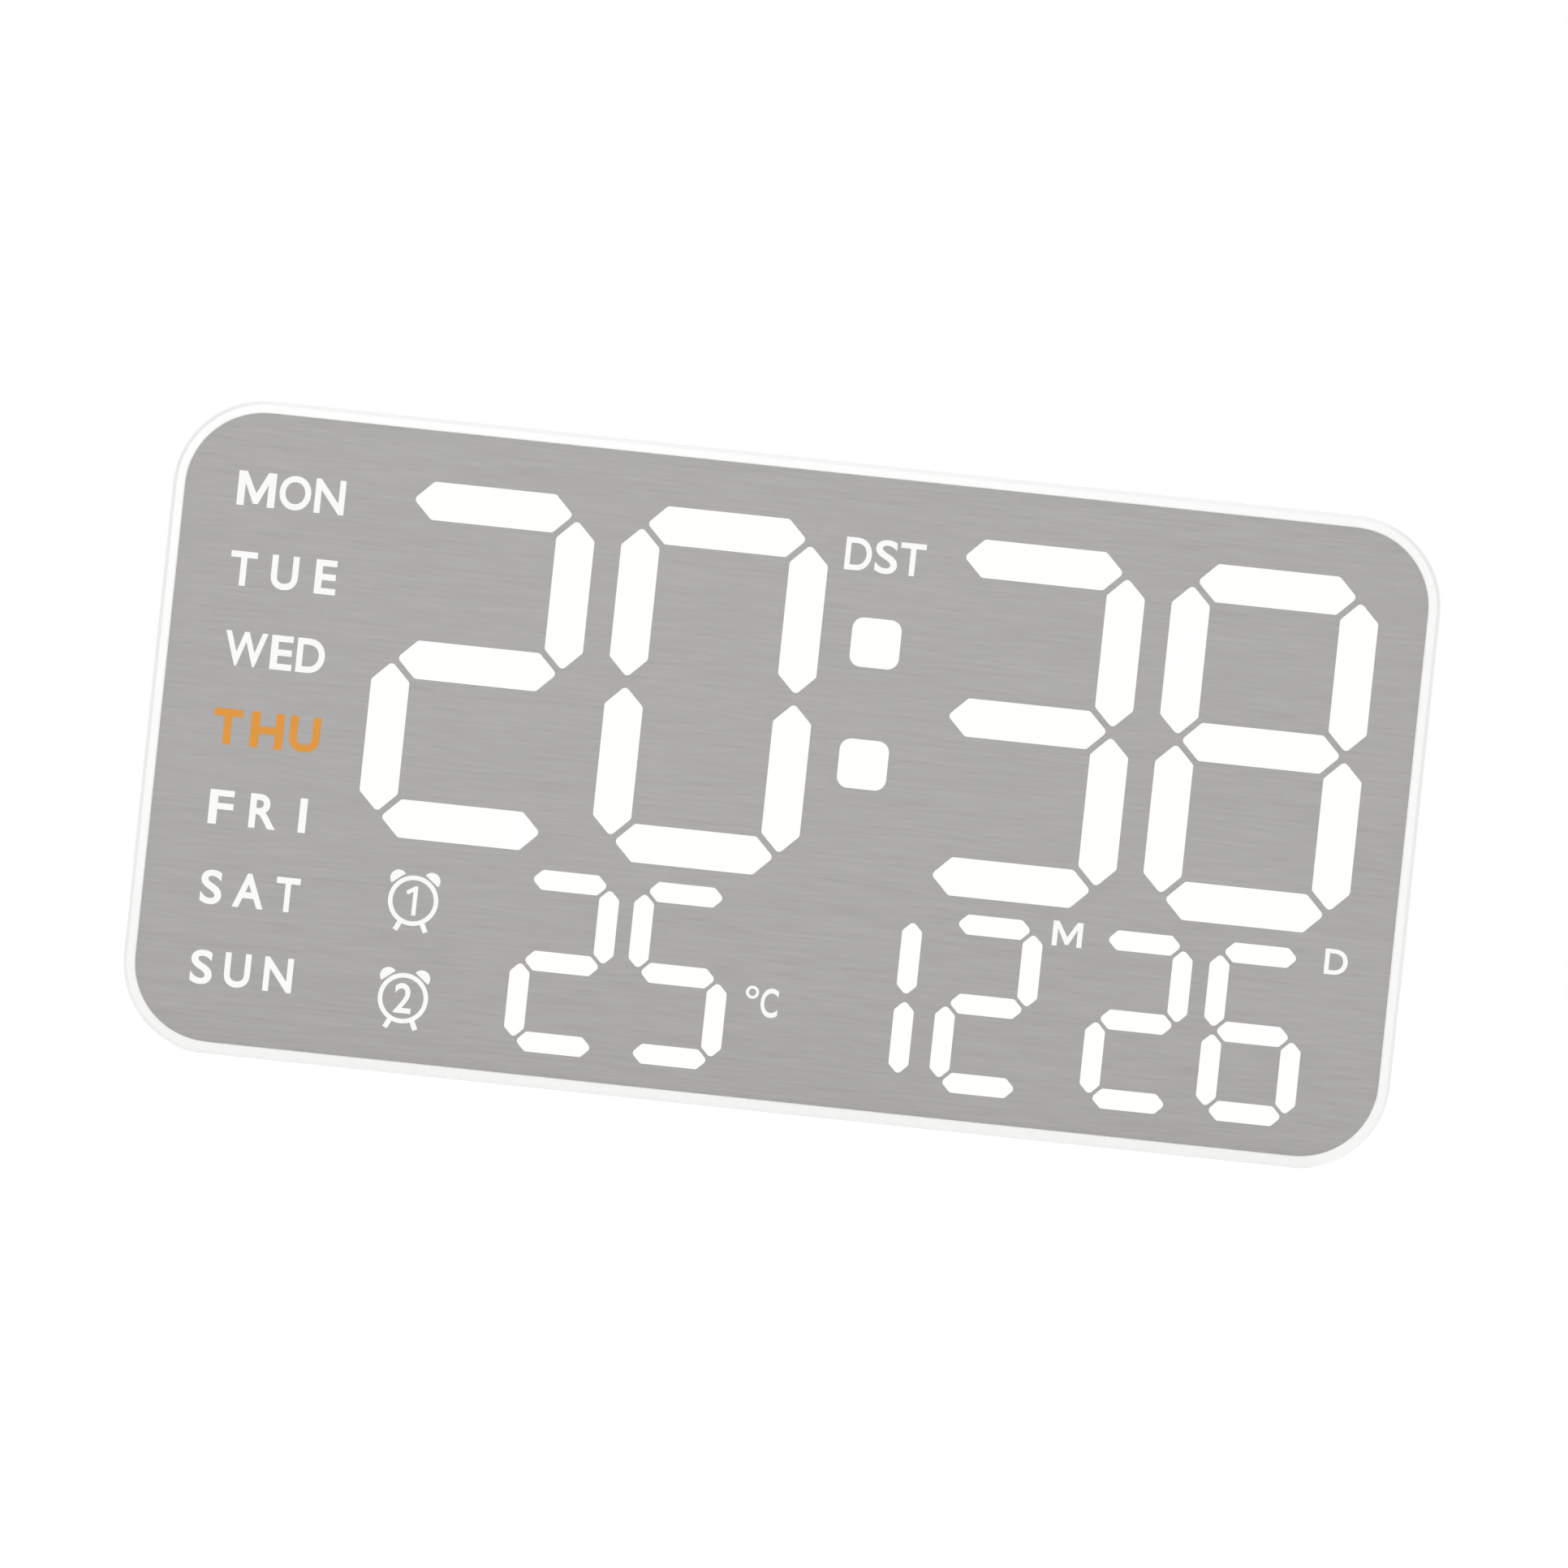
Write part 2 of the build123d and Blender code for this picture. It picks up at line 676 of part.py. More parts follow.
def crystal():
    """Timekeeping crystal in its metal can."""
    can = Pos(colon_x, CHIP_ROW - CHIP_WIDTH - CRYSTAL_WIDTH) * Rectangle(CRYSTAL_LENGTH, CRYSTAL_WIDTH)
    return slab(can, board_rear - CRYSTAL_HEIGHT, board_rear)


def capacitors():
    """Two electrolytic capacitors on square bases."""
    cans = []
    for step in (-1, 1):
        here = Pos(CAPACITOR_COLUMN, step * CAPACITOR_PITCH / 2)
        foot = here * Rectangle(CAPACITOR_BASE, CAPACITOR_BASE)
        base = slab(foot, board_rear - CAPACITOR_BASE_HEIGHT, board_rear)
        cans.append(base + slab(here * disc(CAPACITOR_RADIUS), board_rear - CAPACITOR_HEIGHT, board_rear))
    return group(cans)


def buzzer():
    """Round sounder behind the cover's sound slots."""
    here = Pos(PARTS_COLUMN, buzzer_z)
    low = board_rear - BUZZER_HEIGHT
    body = slab(here * disc(BUZZER_RADIUS), low, board_rear)
    return body - slab(here * disc(BUZZER_HOLE), low, low + BUZZER_HOLE_DEPTH)


def temperature_sensor():
    """Small disc on two legs that stands in the air behind the vents."""
    legs = [
        Pos(SENSOR_COLUMN + step * SENSOR_LEG_PITCH / 2, sensor_z) * Rectangle(SENSOR_LEG, SENSOR_LEG)
        for step in (-1, 1)
    ]
    low = board_rear - SENSOR_REACH
    head = extrude(Pos(SENSOR_COLUMN, -low, sensor_z) * disc(SENSOR_DISC), amount=SENSOR_THICK / 2, both=True)
    return head + slab(Sketch() + legs, low, board_rear)


def socket_section(inset):
    """Round-ended section of the power socket, at its place in the side wall."""
    shape = RectangleRounded(SOCKET_HEIGHT - 2 * inset, SOCKET_WIDTH - 2 * inset, SOCKET_ROUND - inset)
    return Pos(-socket_depth, socket_z) * shape


def power_socket():
    """Sheet metal shell of the power socket, closed at the back."""
    back = socket_mouth - SOCKET_LENGTH
    shell = extrude(Plane.YZ.offset(back) * socket_section(0), amount=SOCKET_LENGTH)
    inner = Plane.YZ.offset(back + SOCKET_SHEET) * socket_section(SOCKET_SHEET)
    return shell - extrude(inner, amount=SOCKET_LENGTH)


def socket_tongue():
    """Contact tongue inside the power socket."""
    back = socket_mouth - SOCKET_LENGTH + SOCKET_SHEET
    plate = Pos(-socket_depth, socket_z) * Rectangle(TONGUE_PLATE, TONGUE_PLATE_WIDTH)
    return extrude(Plane.YZ.offset(back) * plate, amount=SOCKET_LENGTH - SOCKET_SHEET - TONGUE_PLATE_SHORT)


def screw(x, z, seat, head, head_height, shank, length, forwards):
    """Pan head screw whose head sits at seat and whose shank points forwards or back to the wall."""
    way = 1 if forwards else -1
    here = Pos(x, z)
    under = sorted((seat, seat - way * head_height))
    along = sorted((seat, seat + way * length))
    return slab(here * disc(head), *under) + slab(here * disc(shank), *along)


def board_screws():
    """Four screws that hold the display board to the light box."""
    size = (BOARD_HEAD, BOARD_HEAD_HEIGHT, BOARD_SHANK, board_screw_length)
    return group(screw(x, z, board_rear, *size, True) for x, z in board_screw_places())


def case_screws():
    """Four screws that hold the rear cover to the front frame."""
    size = (CASE_HEAD, CASE_HEAD_HEIGHT, CASE_SHANK, CASE_SCREW_LENGTH)
    return group(screw(sx * post_x, sz * post_z, CASE_SCREW_SEAT, *size, True) for sx, sz in corners())


# Rear cover


def cover_envelope():
    """Outer form of the rear cover."""
    body = slab(outline(), 0, COVER_DEPTH)
    return chamfer(body.faces().sort_by(Axis.Y)[-1].edges(), REAR_EDGE)


def keyhole(grow=0.0):
    """Keyhole outline: a round mouth with a narrower slot above it, widened all round by grow."""
    mouth = Circle(KEYHOLE_RADIUS + grow)
    slot = Pos(0, KEYHOLE_TRAVEL / 2) * Rectangle(KEYHOLE_SLOT + 2 * grow, KEYHOLE_TRAVEL)
    return mouth + slot + Pos(0, KEYHOLE_TRAVEL) * Circle(KEYHOLE_SLOT / 2 + grow)


def keyhole_pocket(grow=0.0):
    """Room behind a keyhole for the screw head, widened all round by grow."""
    wide = KEYHOLE_RADIUS + KEYHOLE_MARGIN + grow
    return bar(-wide, wide, -wide, KEYHOLE_TRAVEL + wide)


def slot_row(x, z, count):
    """Upright slots side by side, centred on x, z."""
    middle = (count - 1) / 2
    return [Pos(x + (k - middle) * SLOT_PITCH, z) * Rectangle(SLOT_WIDTH, SLOT_LENGTH) for k in range(count)]


def button_places():
    """Name and x of each push button."""
    middle = (len(BUTTON_NAMES) - 1) / 2
    return [(name, (k - middle) * BUTTON_PITCH) for k, name in enumerate(BUTTON_NAMES)]


def door_room(grow):
    """Sliding room of the door and its tongues, open at the side wall."""
    far = -side - REAR_EDGE
    plate = bar(far, door_end + grow, bay_z - door_half - grow, bay_z + door_half + grow)
    tongues = bar(far, door_end + grow, bay_z - tongue_half - grow, bay_z + tongue_half + grow)
    return slab(plate, 0, DOOR_PLATE + grow) + slab(tongues, tongue_low - grow, DOOR_PLATE + grow)


def rear_cover():
    """Moulded back: wall, locating lip, bay, door rails, leg recess, keyhole pockets, key recess."""
    envelope = cover_envelope()
    cover = envelope - slab(outline(WALL), WALL, COVER_DEPTH)
    lip = Sketch() + side_strips(WALL + FIT, LIP_WALL)
    root = Sketch() + side_strips(WALL / 2, WALL / 2 + FIT + LIP_WALL)
    cover += slab(root, COVER_DEPTH - LIP_ROOT, COVER_DEPTH)
    cover += slab(lip, COVER_DEPTH, COVER_DEPTH + LIP_HEIGHT)

    rail = tongue_half + SLIDE_FIT + RAIL_WALL
    rails = bar(-side, door_end + SLIDE_FIT + RAIL_WALL, bay_z - rail, bay_z + rail)
    cover += slab(rails, 0, DOOR_PLATE + SLIDE_FIT + RAIL_WALL) & envelope
    bay_low = bay_z - bay_height / 2
    bay_high = bay_z + bay_height / 2
    tub = bar(bay_left - BAY_WALL, bay_right + BAY_WALL, bay_low - BAY_WALL, bay_high + BAY_WALL)
    cover += slab(tub, WALL, bay_floor + BAY_WALL)

    leg_tub = bar(-recess_half - TUB_WALL, recess_half + TUB_WALL, bottom + WALL / 2, recess_top + TUB_WALL)
    cover += slab(leg_tub, WALL / 2, recess_floor + TUB_WALL)

    sleeves = Sketch() + [Pos(sx * post_x, sz * post_z) * disc(SLEEVE_RADIUS) for sx, sz in corners()]
    cover += slab(sleeves, WALL / 2, post_end)
    pillars = Sketch()
    for sx, sz in corners():
        here = Pos(sx * PILLAR_COLUMN, sz * (top - PILLAR_INSET))
        pillars += here * Rectangle(PILLAR, RIB)
        pillars += here * Rectangle(RIB, PILLAR)
    cover += slab(pillars, WALL / 2, board_rear)
    key_posts = [Pos(sx * key_post_x, button_z) * Rectangle(KEY_POST, KEY_POST) for sx in (-1, 1)]
    cover += slab(Sketch() + key_posts, WALL / 2, key_board_low)
    strip = Pos(0, button_z) * cut_corners(strip_width, strip_height, STRIP_CORNER)
    pad = Pos(0, button_z) * Rectangle(strip_width + 2 * RIB, strip_height + 2 * RIB)
    cover += slab(pad, WALL / 2, strip_inner)
    keyhole_z = top - KEYHOLE_DROP
    hooks = [Pos(sx * KEYHOLE_SPACING / 2, keyhole_z) for sx in (-1, 1)]
    pockets = Sketch() + [here * keyhole_pocket(POCKET_WALL) for here in hooks]
    cover += slab(pockets, WALL / 2, WALL + KEYHOLE_ROOM + POCKET_WALL)

    cover -= slab(bar(bay_left, bay_right, bay_low, bay_high), 0, bay_floor)
    cover -= slab(Sketch() + solder_tails(TAIL_FIT), bay_floor, bay_floor + BAY_WALL)
    cover -= door_room(SLIDE_FIT)
    recess = bar(-recess_half, recess_half, bottom - WALL, recess_top)
    cover -= slab(recess, 0, recess_floor)
    pin = Pos(0, -pivot_depth, pivot_z) * Rot(Y=90)
    cover -= pin * Cylinder(PIN_RADIUS + PIN_SEAT, 2 * (recess_half + TUB_WALL))
    for sx, sz in corners():
        here = Pos(sx * post_x, sz * post_z)
        cover -= slab(here * Circle(CASE_HEAD + SHANK_FIT), 0, CASE_SCREW_SEAT)
        cover -= slab(here * disc(CASE_SHANK + SHANK_FIT), 0, post_end)
    cover -= slab(strip, 0, STRIP_DEPTH)
    for name, x in button_places():
        hole = cut_corners(BUTTON_WIDTH + 2 * BUTTON_FIT, BUTTON_HEIGHT + 2 * BUTTON_FIT, BUTTON_CORNER)
        cover -= slab(Pos(x, button_z) * hole, 0, strip_inner)
    pilot_low = key_board_high - KEY_SCREW_LENGTH - PILOT_SPARE / 2
    for sx in (-1, 1):
        pilot = Pos(sx * key_post_x, button_z) * disc(BOARD_SHANK + SCREW_FIT)
        cover -= slab(pilot, pilot_low, key_board_low)
    for here in hooks:
        cover -= slab(here * keyhole_pocket(), WALL, WALL + KEYHOLE_ROOM)
        cover -= slab(here * keyhole(), 0, WALL)
    slots = slot_row(PARTS_COLUMN, buzzer_z, SOUND_COUNT) + slot_row(SENSOR_COLUMN, sensor_z, VENT_COUNT)
    return cover - slab(Sketch() + slots, 0, WALL)


def battery_door():
    """Sliding lid with a tongue along each edge and grip grooves near the side of the case."""
    far = -side - REAR_EDGE
    plate = bar(far, door_end, bay_z - door_half, bay_z + door_half)
    tongues = bar(far, door_end, bay_z - tongue_half, bay_z + tongue_half)
    door = slab(plate, DOOR_RECESS, DOOR_PLATE) + slab(tongues, tongue_low, DOOR_PLATE)
    door = door & cover_envelope()
    for k in range(GRIP_COUNT):
        x = -side + GRIP_INSET + k * GRIP_PITCH
        groove = Pos(x, bay_z) * Rectangle(GRIP_WIDTH, GRIP_LENGTH)
        door -= slab(groove, 0, DOOR_RECESS + GRIP_DEPTH)
    return door


def cell_rows():
    """Height of each cell in the bay, with the end that its spring is on."""
    rows = []
    for k in range(CELL_COUNT):
        z = bay_z + (k - (CELL_COUNT - 1) / 2) * (CELL_DIAMETER + CELL_PLAY)
        rows.append((z, 1 if k % 2 else -1))
    return rows


def end_wall(end):
    """End wall of the bay on the left, for -1, or the right, for 1."""
    return bay_left if end < 0 else bay_right


def solder_tails(grow=0.0):
    """Outlines of the strips that join the first spring and the last plate to the display board."""
    (first_z, first_end), (last_z, last_end) = cell_rows()[0], cell_rows()[-1]
    strips = []
    for z, end in ((first_z, first_end), (last_z, -last_end)):
        x = end_wall(end) - end * CONTACT_SHEET / 2
        strips.append(Pos(x, z) * Rectangle(CONTACT_SHEET + 2 * grow, TAIL_WIDTH + 2 * grow))
    return strips


def battery_springs():
    """Bent leaf contacts for the cells' flat ends, the first with its solder tail."""
    low = DOOR_PLATE + SLIDE_FIT + CELL_PLAY
    high = bay_floor - CELL_PLAY
    middle = (low + high) / 2
    leaves = []
    for z, end in cell_rows():
        wall = end_wall(end) - end * CONTACT_SHEET / 2
        tip = wall - end * (SPRING_REACH - CONTACT_SHEET)
        bend = wall - end * SPRING_REACH / 3
        path = Polyline((wall, -low), (wall, -high), (bend, -high), (tip, -middle), (bend, -low - CELL_PLAY))
        leaf = Pos(0, 0, z - CONTACT_WIDTH / 2) * trace(path, CONTACT_SHEET)
        leaves.append(extrude(leaf, amount=CONTACT_WIDTH))
    leaves[0] += slab(solder_tails()[0], high, board_rear)
    return group(leaves)


def battery_plates():
    """Flat contacts with a bump for the cells' raised ends, the last with its solder tail."""
    low = DOOR_PLATE + SLIDE_FIT + CELL_PLAY
    high = bay_floor - CELL_PLAY
    plates = []
    for z, end in cell_rows():
        wall = end_wall(-end)
        sheet = sorted((wall, wall + end * CONTACT_SHEET))
        plate = slab(bar(*sheet, z - CONTACT_WIDTH / 2, z + CONTACT_WIDTH / 2), low, high)
        foot = Pos(wall, -(low + high) / 2, z) * Rot(Y=90 * end) * disc(CONTACT_BUMP_RADIUS)
        plates.append(plate + extrude(foot, amount=CONTACT_SHEET + CONTACT_BUMP))
    plates[-1] += slab(solder_tails()[-1], high, board_rear)
    return group(plates)


# Push buttons


def button(x):
    """Cap with cut corners, a flange behind the cover and a stem that rests on the switch plunger."""
    here = Pos(x, button_z)
    cap = slab(here * cut_corners(BUTTON_WIDTH, BUTTON_HEIGHT, BUTTON_CORNER), BUTTON_SINK, flange_high)
    cap = chamfer(cap.faces().sort_by(Axis.Y)[-1].edges(), BUTTON_EDGE)
    flange = Rectangle(BUTTON_WIDTH + 2 * BUTTON_FLANGE, BUTTON_HEIGHT + 2 * BUTTON_FLANGE)
    stem = slab(here * disc(BUTTON_STEM), flange_low, stem_tip)
    return cap + slab(here * flange, flange_low, flange_high) + stem


def plunger(x):
    """Moving pin of a switch."""
    return slab(Pos(x, button_z) * disc(PLUNGER_RADIUS), stem_tip, switch_low + PLUNGER_SINK)


def switch_bodies():
    """Square switch housings on the key board, each with room for its plunger."""
    room = PLUNGER_SINK + BUTTON_TRAVEL + PLUNGER_FIT
    bodies = []
    for name, x in button_places():
        here = Pos(x, button_z)
        body = slab(here * Rectangle(SWITCH_SIZE, SWITCH_SIZE), switch_low, key_board_low)
        bodies.append(body - slab(here * disc(PLUNGER_RADIUS + PLUNGER_FIT), switch_low, switch_low + room))
    return group(bodies)


def key_board():
    """Narrow board behind the buttons, screwed to two posts of the cover."""
    length = 2 * (key_post_x + KEY_POST_SPACE)
    holes = [Pos(sx * key_post_x, button_z) * disc(BOARD_SHANK + SHANK_FIT) for sx in (-1, 1)]
    plate = Pos(0, button_z) * Rectangle(length, KEY_BOARD_HEIGHT)
    return slab(plate - holes, key_board_low, key_board_high)


def key_board_screws():
    """Two screws that hold the key board to its posts."""
    size = (BOARD_HEAD, BOARD_HEAD_HEIGHT, BOARD_SHANK, KEY_SCREW_LENGTH)
    return group(screw(sx * key_post_x, button_z, key_board_high, *size, False) for sx in (-1, 1))


def key_header():
    """Pin row that joins the key board to the display board."""
    length = HEADER_PINS * HEADER_PITCH
    low = board_rear - HEADER_DEPTH
    row = slab(Pos(0, button_z) * Rectangle(length, HEADER_DEPTH), low, board_rear)
    for k in range(HEADER_PINS):
        x = (k - (HEADER_PINS - 1) / 2) * HEADER_PITCH
        row += slab(Pos(x, button_z) * Rectangle(HEADER_PIN, HEADER_PIN), key_board_high, low)
    return row


# Folding leg


def leg():
    """Hollow leg with a barrel at the top, a rib down its middle and a rubber toe."""
    half = LEG_WIDTH / 2
    plan = bar(-half, half, toe_z, pivot_z)
    plan = fillet(plan.vertices().group_by(Axis.Y)[0], LEG_ROUND)
    body = slab(plan, LEG_RECESS, leg_inner)
    hollow_top = pivot_z - BARREL_RADIUS - LEG_RIM
    for way in (-1, 1):
        edges = sorted((way * RIB / 2, way * (half - LEG_RIM)))
        body -= slab(bar(*edges, toe_z + LEG_TOE, hollow_top), LEG_RECESS + LEG_SKIN, leg_inner)
    axis = Pos(0, -pivot_depth, pivot_z) * Rot(Y=90)
    body += axis * Cylinder(BARREL_RADIUS, LEG_WIDTH)
    body -= axis * Cylinder(PIN_RADIUS + PIN_FIT, 2 * LEG_WIDTH)
    return body - leg_pad()


def leg_pad():
    """Rubber strip set into the toe."""
    middle = (LEG_RECESS + leg_inner) / 2
    foot = toe_z - PAD_PROUD
    strip = bar(-PAD_WIDTH / 2, PAD_WIDTH / 2, foot, foot + PAD_LENGTH)
    return slab(strip, middle - PAD_DEPTH / 2, middle + PAD_DEPTH / 2)


def leg_pin():
    """Steel pin through the leg's barrel and both walls of the recess."""
    return Pos(0, -pivot_depth, pivot_z) * Rot(Y=90) * Cylinder(PIN_RADIUS, 2 * (recess_half + TUB_WALL))


pieces = {
    "front_frame": front_frame(),
    "face_film": face_film(),
    "diffuser_panel": diffuser_panel(),
    "panel_tape": panel_tape(),
    "light_box": light_box(),
    "led_board": led_board(),
    "time_leds": leds(time_cells(True)),
    "temperature_leds": leds(temperature_cells(True)),
    "date_leds": leds(date_cells(True)),
    "sign_leds": leds(sign_cells()),
    "clock_chip": clock_chip(),
    "driver_chips": driver_chips(),
    "crystal": crystal(),
    "capacitors": capacitors(),
    "buzzer": buzzer(),
    "temperature_sensor": temperature_sensor(),
    "power_socket": power_socket(),
    "socket_tongue": socket_tongue(),
    "board_screws": board_screws(),
    "rear_cover": rear_cover(),
    "case_screws": case_screws(),
    "battery_door": battery_door(),
    "battery_springs": battery_springs(),
    "battery_plates": battery_plates(),
    "key_board": key_board(),
    "key_board_screws": key_board_screws(),
    "key_header": key_header(),
    "switch_bodies": switch_bodies(),
    "leg": leg(),
    "leg_pad": leg_pad(),
    "leg_pin": leg_pin(),
}
for name, x in button_places():
    pieces[name + "_button"] = button(x)
    pieces[name + "_plunger"] = plunger(x)

os.makedirs("parts", exist_ok=True)
for node, shape in pieces.items():
    export_step(shape, os.path.join("parts", node + ".step"))
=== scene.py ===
# %% [markdown]
# # A digital wall clock
# The clock is a shallow white plastic case with a brushed silver face, and light shines through windows in
# that face. The solids of the case, the leg, the door and the inside are loaded first and stay where they
# are. What follows gives each surface its finish and adds what solids can't show well: the face with its
# rounded windows, the printed words and signs, the button caps and the screw heads.

# %% Load the solids
import json
import math
from collections import namedtuple

import bmesh
import bpy
from mathutils import Matrix, Vector


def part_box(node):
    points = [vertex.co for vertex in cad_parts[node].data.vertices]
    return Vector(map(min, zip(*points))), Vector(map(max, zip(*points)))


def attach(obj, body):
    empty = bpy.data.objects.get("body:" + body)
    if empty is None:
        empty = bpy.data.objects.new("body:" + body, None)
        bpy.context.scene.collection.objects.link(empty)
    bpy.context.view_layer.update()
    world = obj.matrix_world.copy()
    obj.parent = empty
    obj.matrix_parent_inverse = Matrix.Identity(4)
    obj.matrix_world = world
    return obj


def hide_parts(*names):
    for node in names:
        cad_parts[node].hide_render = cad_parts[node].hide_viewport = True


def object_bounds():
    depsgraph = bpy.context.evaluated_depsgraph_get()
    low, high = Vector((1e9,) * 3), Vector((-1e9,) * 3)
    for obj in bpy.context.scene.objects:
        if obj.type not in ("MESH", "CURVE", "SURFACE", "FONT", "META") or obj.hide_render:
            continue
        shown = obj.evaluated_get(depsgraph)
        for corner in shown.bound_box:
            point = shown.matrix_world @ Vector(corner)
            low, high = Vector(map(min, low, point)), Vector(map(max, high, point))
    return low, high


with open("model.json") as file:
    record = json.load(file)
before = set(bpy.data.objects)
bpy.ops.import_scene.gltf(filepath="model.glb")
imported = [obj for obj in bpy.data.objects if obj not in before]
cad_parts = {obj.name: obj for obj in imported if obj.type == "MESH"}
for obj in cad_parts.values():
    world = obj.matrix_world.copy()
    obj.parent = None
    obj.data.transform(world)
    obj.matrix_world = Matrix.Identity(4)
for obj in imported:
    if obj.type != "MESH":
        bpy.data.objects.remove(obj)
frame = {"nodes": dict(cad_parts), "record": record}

CAD_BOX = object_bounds()

# %% [markdown]
# ## Units, colours and nodes
# Blender works in metres and a clock is drawn in millimetres, so one value turns one into the other.
# Colours are written as a designer would pick them, in sRGB hex, and one function makes them linear. Shader
# and geometry trees could be wired by hand in the node editor. Here one helper adds every node, so that a
# tree reads as a list of steps: a plain value is set on an input, and a node or a socket is linked to it.

# %% Helpers for values and nodes
MM = 0.001


def linear(colour):
    """Linear RGBA of an sRGB hex colour."""
    parts = [int(colour[k : k + 2], 16) / 255 for k in (1, 3, 5)]
    return (*[p / 12.92 if p <= 0.04045 else ((p + 0.055) / 1.055) ** 2.4 for p in parts], 1.0)


def feed(tree, node, inputs):
    """Sets a node's inputs, or links them to sockets or to the first outputs of other nodes."""
    for key, value in inputs.items():
        for item in value if isinstance(value, list) else [value]:
            source = item.outputs[0] if isinstance(item, bpy.types.Node) else item
            if isinstance(source, bpy.types.NodeSocket):
                tree.links.new(source, node.inputs[key])
            else:
                node.inputs[key].default_value = source


def add(tree, kind, inputs=None, **settings):
    """Adds a node with its settings and feeds its inputs."""
    node = tree.nodes.new(kind)
    for key, value in settings.items():
        setattr(node, key, value)
    feed(tree, node, inputs or {})
    return node


print("white is", [round(c, 3) for c in linear("#FFFFFF")])

# %% [markdown]
# ## Moulded plastic and rubber
# The case is ABS from a steel mould. Its front is polished smooth, and its back has the fine grain of a
# spark-eroded mould, which breaks up reflections. A picture of the grain could be wrapped round the case,
# but it would need a UV map and blur close up. Two noises on Object coordinates do without both. A slow one
# shifts the tint a little, because thick and thin walls cool differently. A fine one makes the grain, with
# pits that are deeper. On all but the black acetal, epoxy and rubber the pits are also painted a shade
# darker, as painted shade in the hollows; on those three they are paler. The same recipe with other values
# gives the grey buttons, the black switch parts, the solder resist of the boards and the rubber toe.

# %% The recipe of a moulding
# A Mix node has sockets for every kind of value. These are its two numbers, two colours and mixed colour
NUMBER_A, NUMBER_B, COLOUR_A, COLOUR_B, MIXED_COLOUR = 2, 3, 6, 7, 2
# Width of the slow patches in millimetres, share of the grain and its painted pit shade in the tint, and
# change of the roughness
MOTTLE, PIT_SHARE, GLOSS_SPREAD = 22.0, 0.75, 0.05


def new_material(name):
    """An empty material with its tree, its shader and the place on the piece."""
    material = bpy.data.materials.new(name)
    material.use_nodes = True
    tree = material.node_tree
    place = add(tree, "ShaderNodeTexCoord").outputs["Object"]
    return material, tree, tree.nodes["Principled BSDF"], place


def moulded(name, colour, shade, ior, roughness, grain, depth):
    """Moulded finish: two tints, an IOR, a roughness, and a grain's size and depth in millimetres."""
    material, tree, shader, place = new_material(name)
    slow = add(tree, "ShaderNodeTexNoise", {"Vector": place, "Scale": 1 / (MOTTLE * MM), "Detail": 2.0})
    fine = add(tree, "ShaderNodeTexNoise", {"Vector": place, "Scale": 1 / (grain * MM), "Detail": 3.0})
    # Where the grain is low, in its pits, the tint goes to the shade colour: painted shade in the hollows on
    # all but the black finishes
    both = add(
        tree, "ShaderNodeMix", {"Factor": PIT_SHARE, NUMBER_A: slow, NUMBER_B: fine}, data_type="FLOAT"
    )
    tint = add(
        tree,
        "ShaderNodeMix",
        {"Factor": both, COLOUR_A: linear(shade), COLOUR_B: linear(colour)},
        data_type="RGBA",
    )
    gloss = add(
        tree,
        "ShaderNodeMapRange",
        {"Value": fine, "To Min": roughness - GLOSS_SPREAD, "To Max": roughness + GLOSS_SPREAD},
    )
    relief = add(tree, "ShaderNodeBump", {"Height": fine, "Distance": depth * MM, "Strength": 1.0})
    feed(tree, shader, {"Base Color": tint.outputs[MIXED_COLOUR], "Roughness": gloss, "Normal": relief})
    feed(tree, shader, {"IOR": ior})
    return material


print("the tint of a moulding drifts over", MOTTLE, "mm")

# %% Moulded finishes
# The real grains are about 0.05 to 0.3 mm wide, too fine to show, so each is drawn a few times coarser

# Polished white ABS: clean, with a soft highlight along the edges
polished_abs = moulded("polished white ABS", "#F6F6F5", "#F2F2F1", 1.54, 0.32, 1.2, 0.002)
# Spark-textured white ABS: as white, dulled by a grain of about 0.2 mm that is drawn at 1.1 mm, with painted
# shade in its pits
grained_abs = moulded("spark-textured white ABS", "#F9F9F8", "#E1E1DF", 1.54, 0.5, 1.1, 0.16)
# Grey ABS of the buttons: satin, with a faint grain
grey_abs = moulded("satin grey ABS", "#8F9092", "#86878A", 1.54, 0.42, 0.5, 0.006)
# Black acetal of the switches and plungers: waxy and dark
black_acetal = moulded("black acetal", "#1D1D1E", "#262627", 1.48, 0.4, 0.4, 0.004)
# Black epoxy of the chips: dull, with paler pits
black_epoxy = moulded("moulded black epoxy", "#1A1A1B", "#2A2A2B", 1.55, 0.62, 0.3, 0.01)
# Rubber of the leg's toe: matt, with a fine rough skin
black_rubber = moulded("black rubber", "#202021", "#2B2B2B", 1.52, 0.8, 0.5, 0.03)
# White polycarbonate of the light box: bright and glossy
reflector_white = moulded("glossy white polycarbonate", "#F5F5F2", "#EEEEEA", 1.585, 0.22, 1.5, 0.002)
# Solder resist of the boards: green and half glossy over the copper
solder_resist = moulded("green solder resist", "#1F5A3A", "#18482F", 1.55, 0.34, 0.9, 0.008)
# Phosphor of the light sources: yellow and smooth
phosphor = moulded("yellow phosphor resin", "#E8D27A", "#DDBF55", 1.42, 0.35, 0.3, 0.004)
# Dipped resin of the temperature sensor: dark and glossy
dipped_resin = moulded("dipped black resin", "#23302A", "#1B2621", 1.55, 0.25, 0.6, 0.006)
# Foam of the adhesive strips: white and matt
foam_tape = moulded("white foam tape", "#DEDEDA", "#CFCFCA", 1.5, 0.85, 0.4, 0.03)
print("materials so far", len(bpy.data.materials))

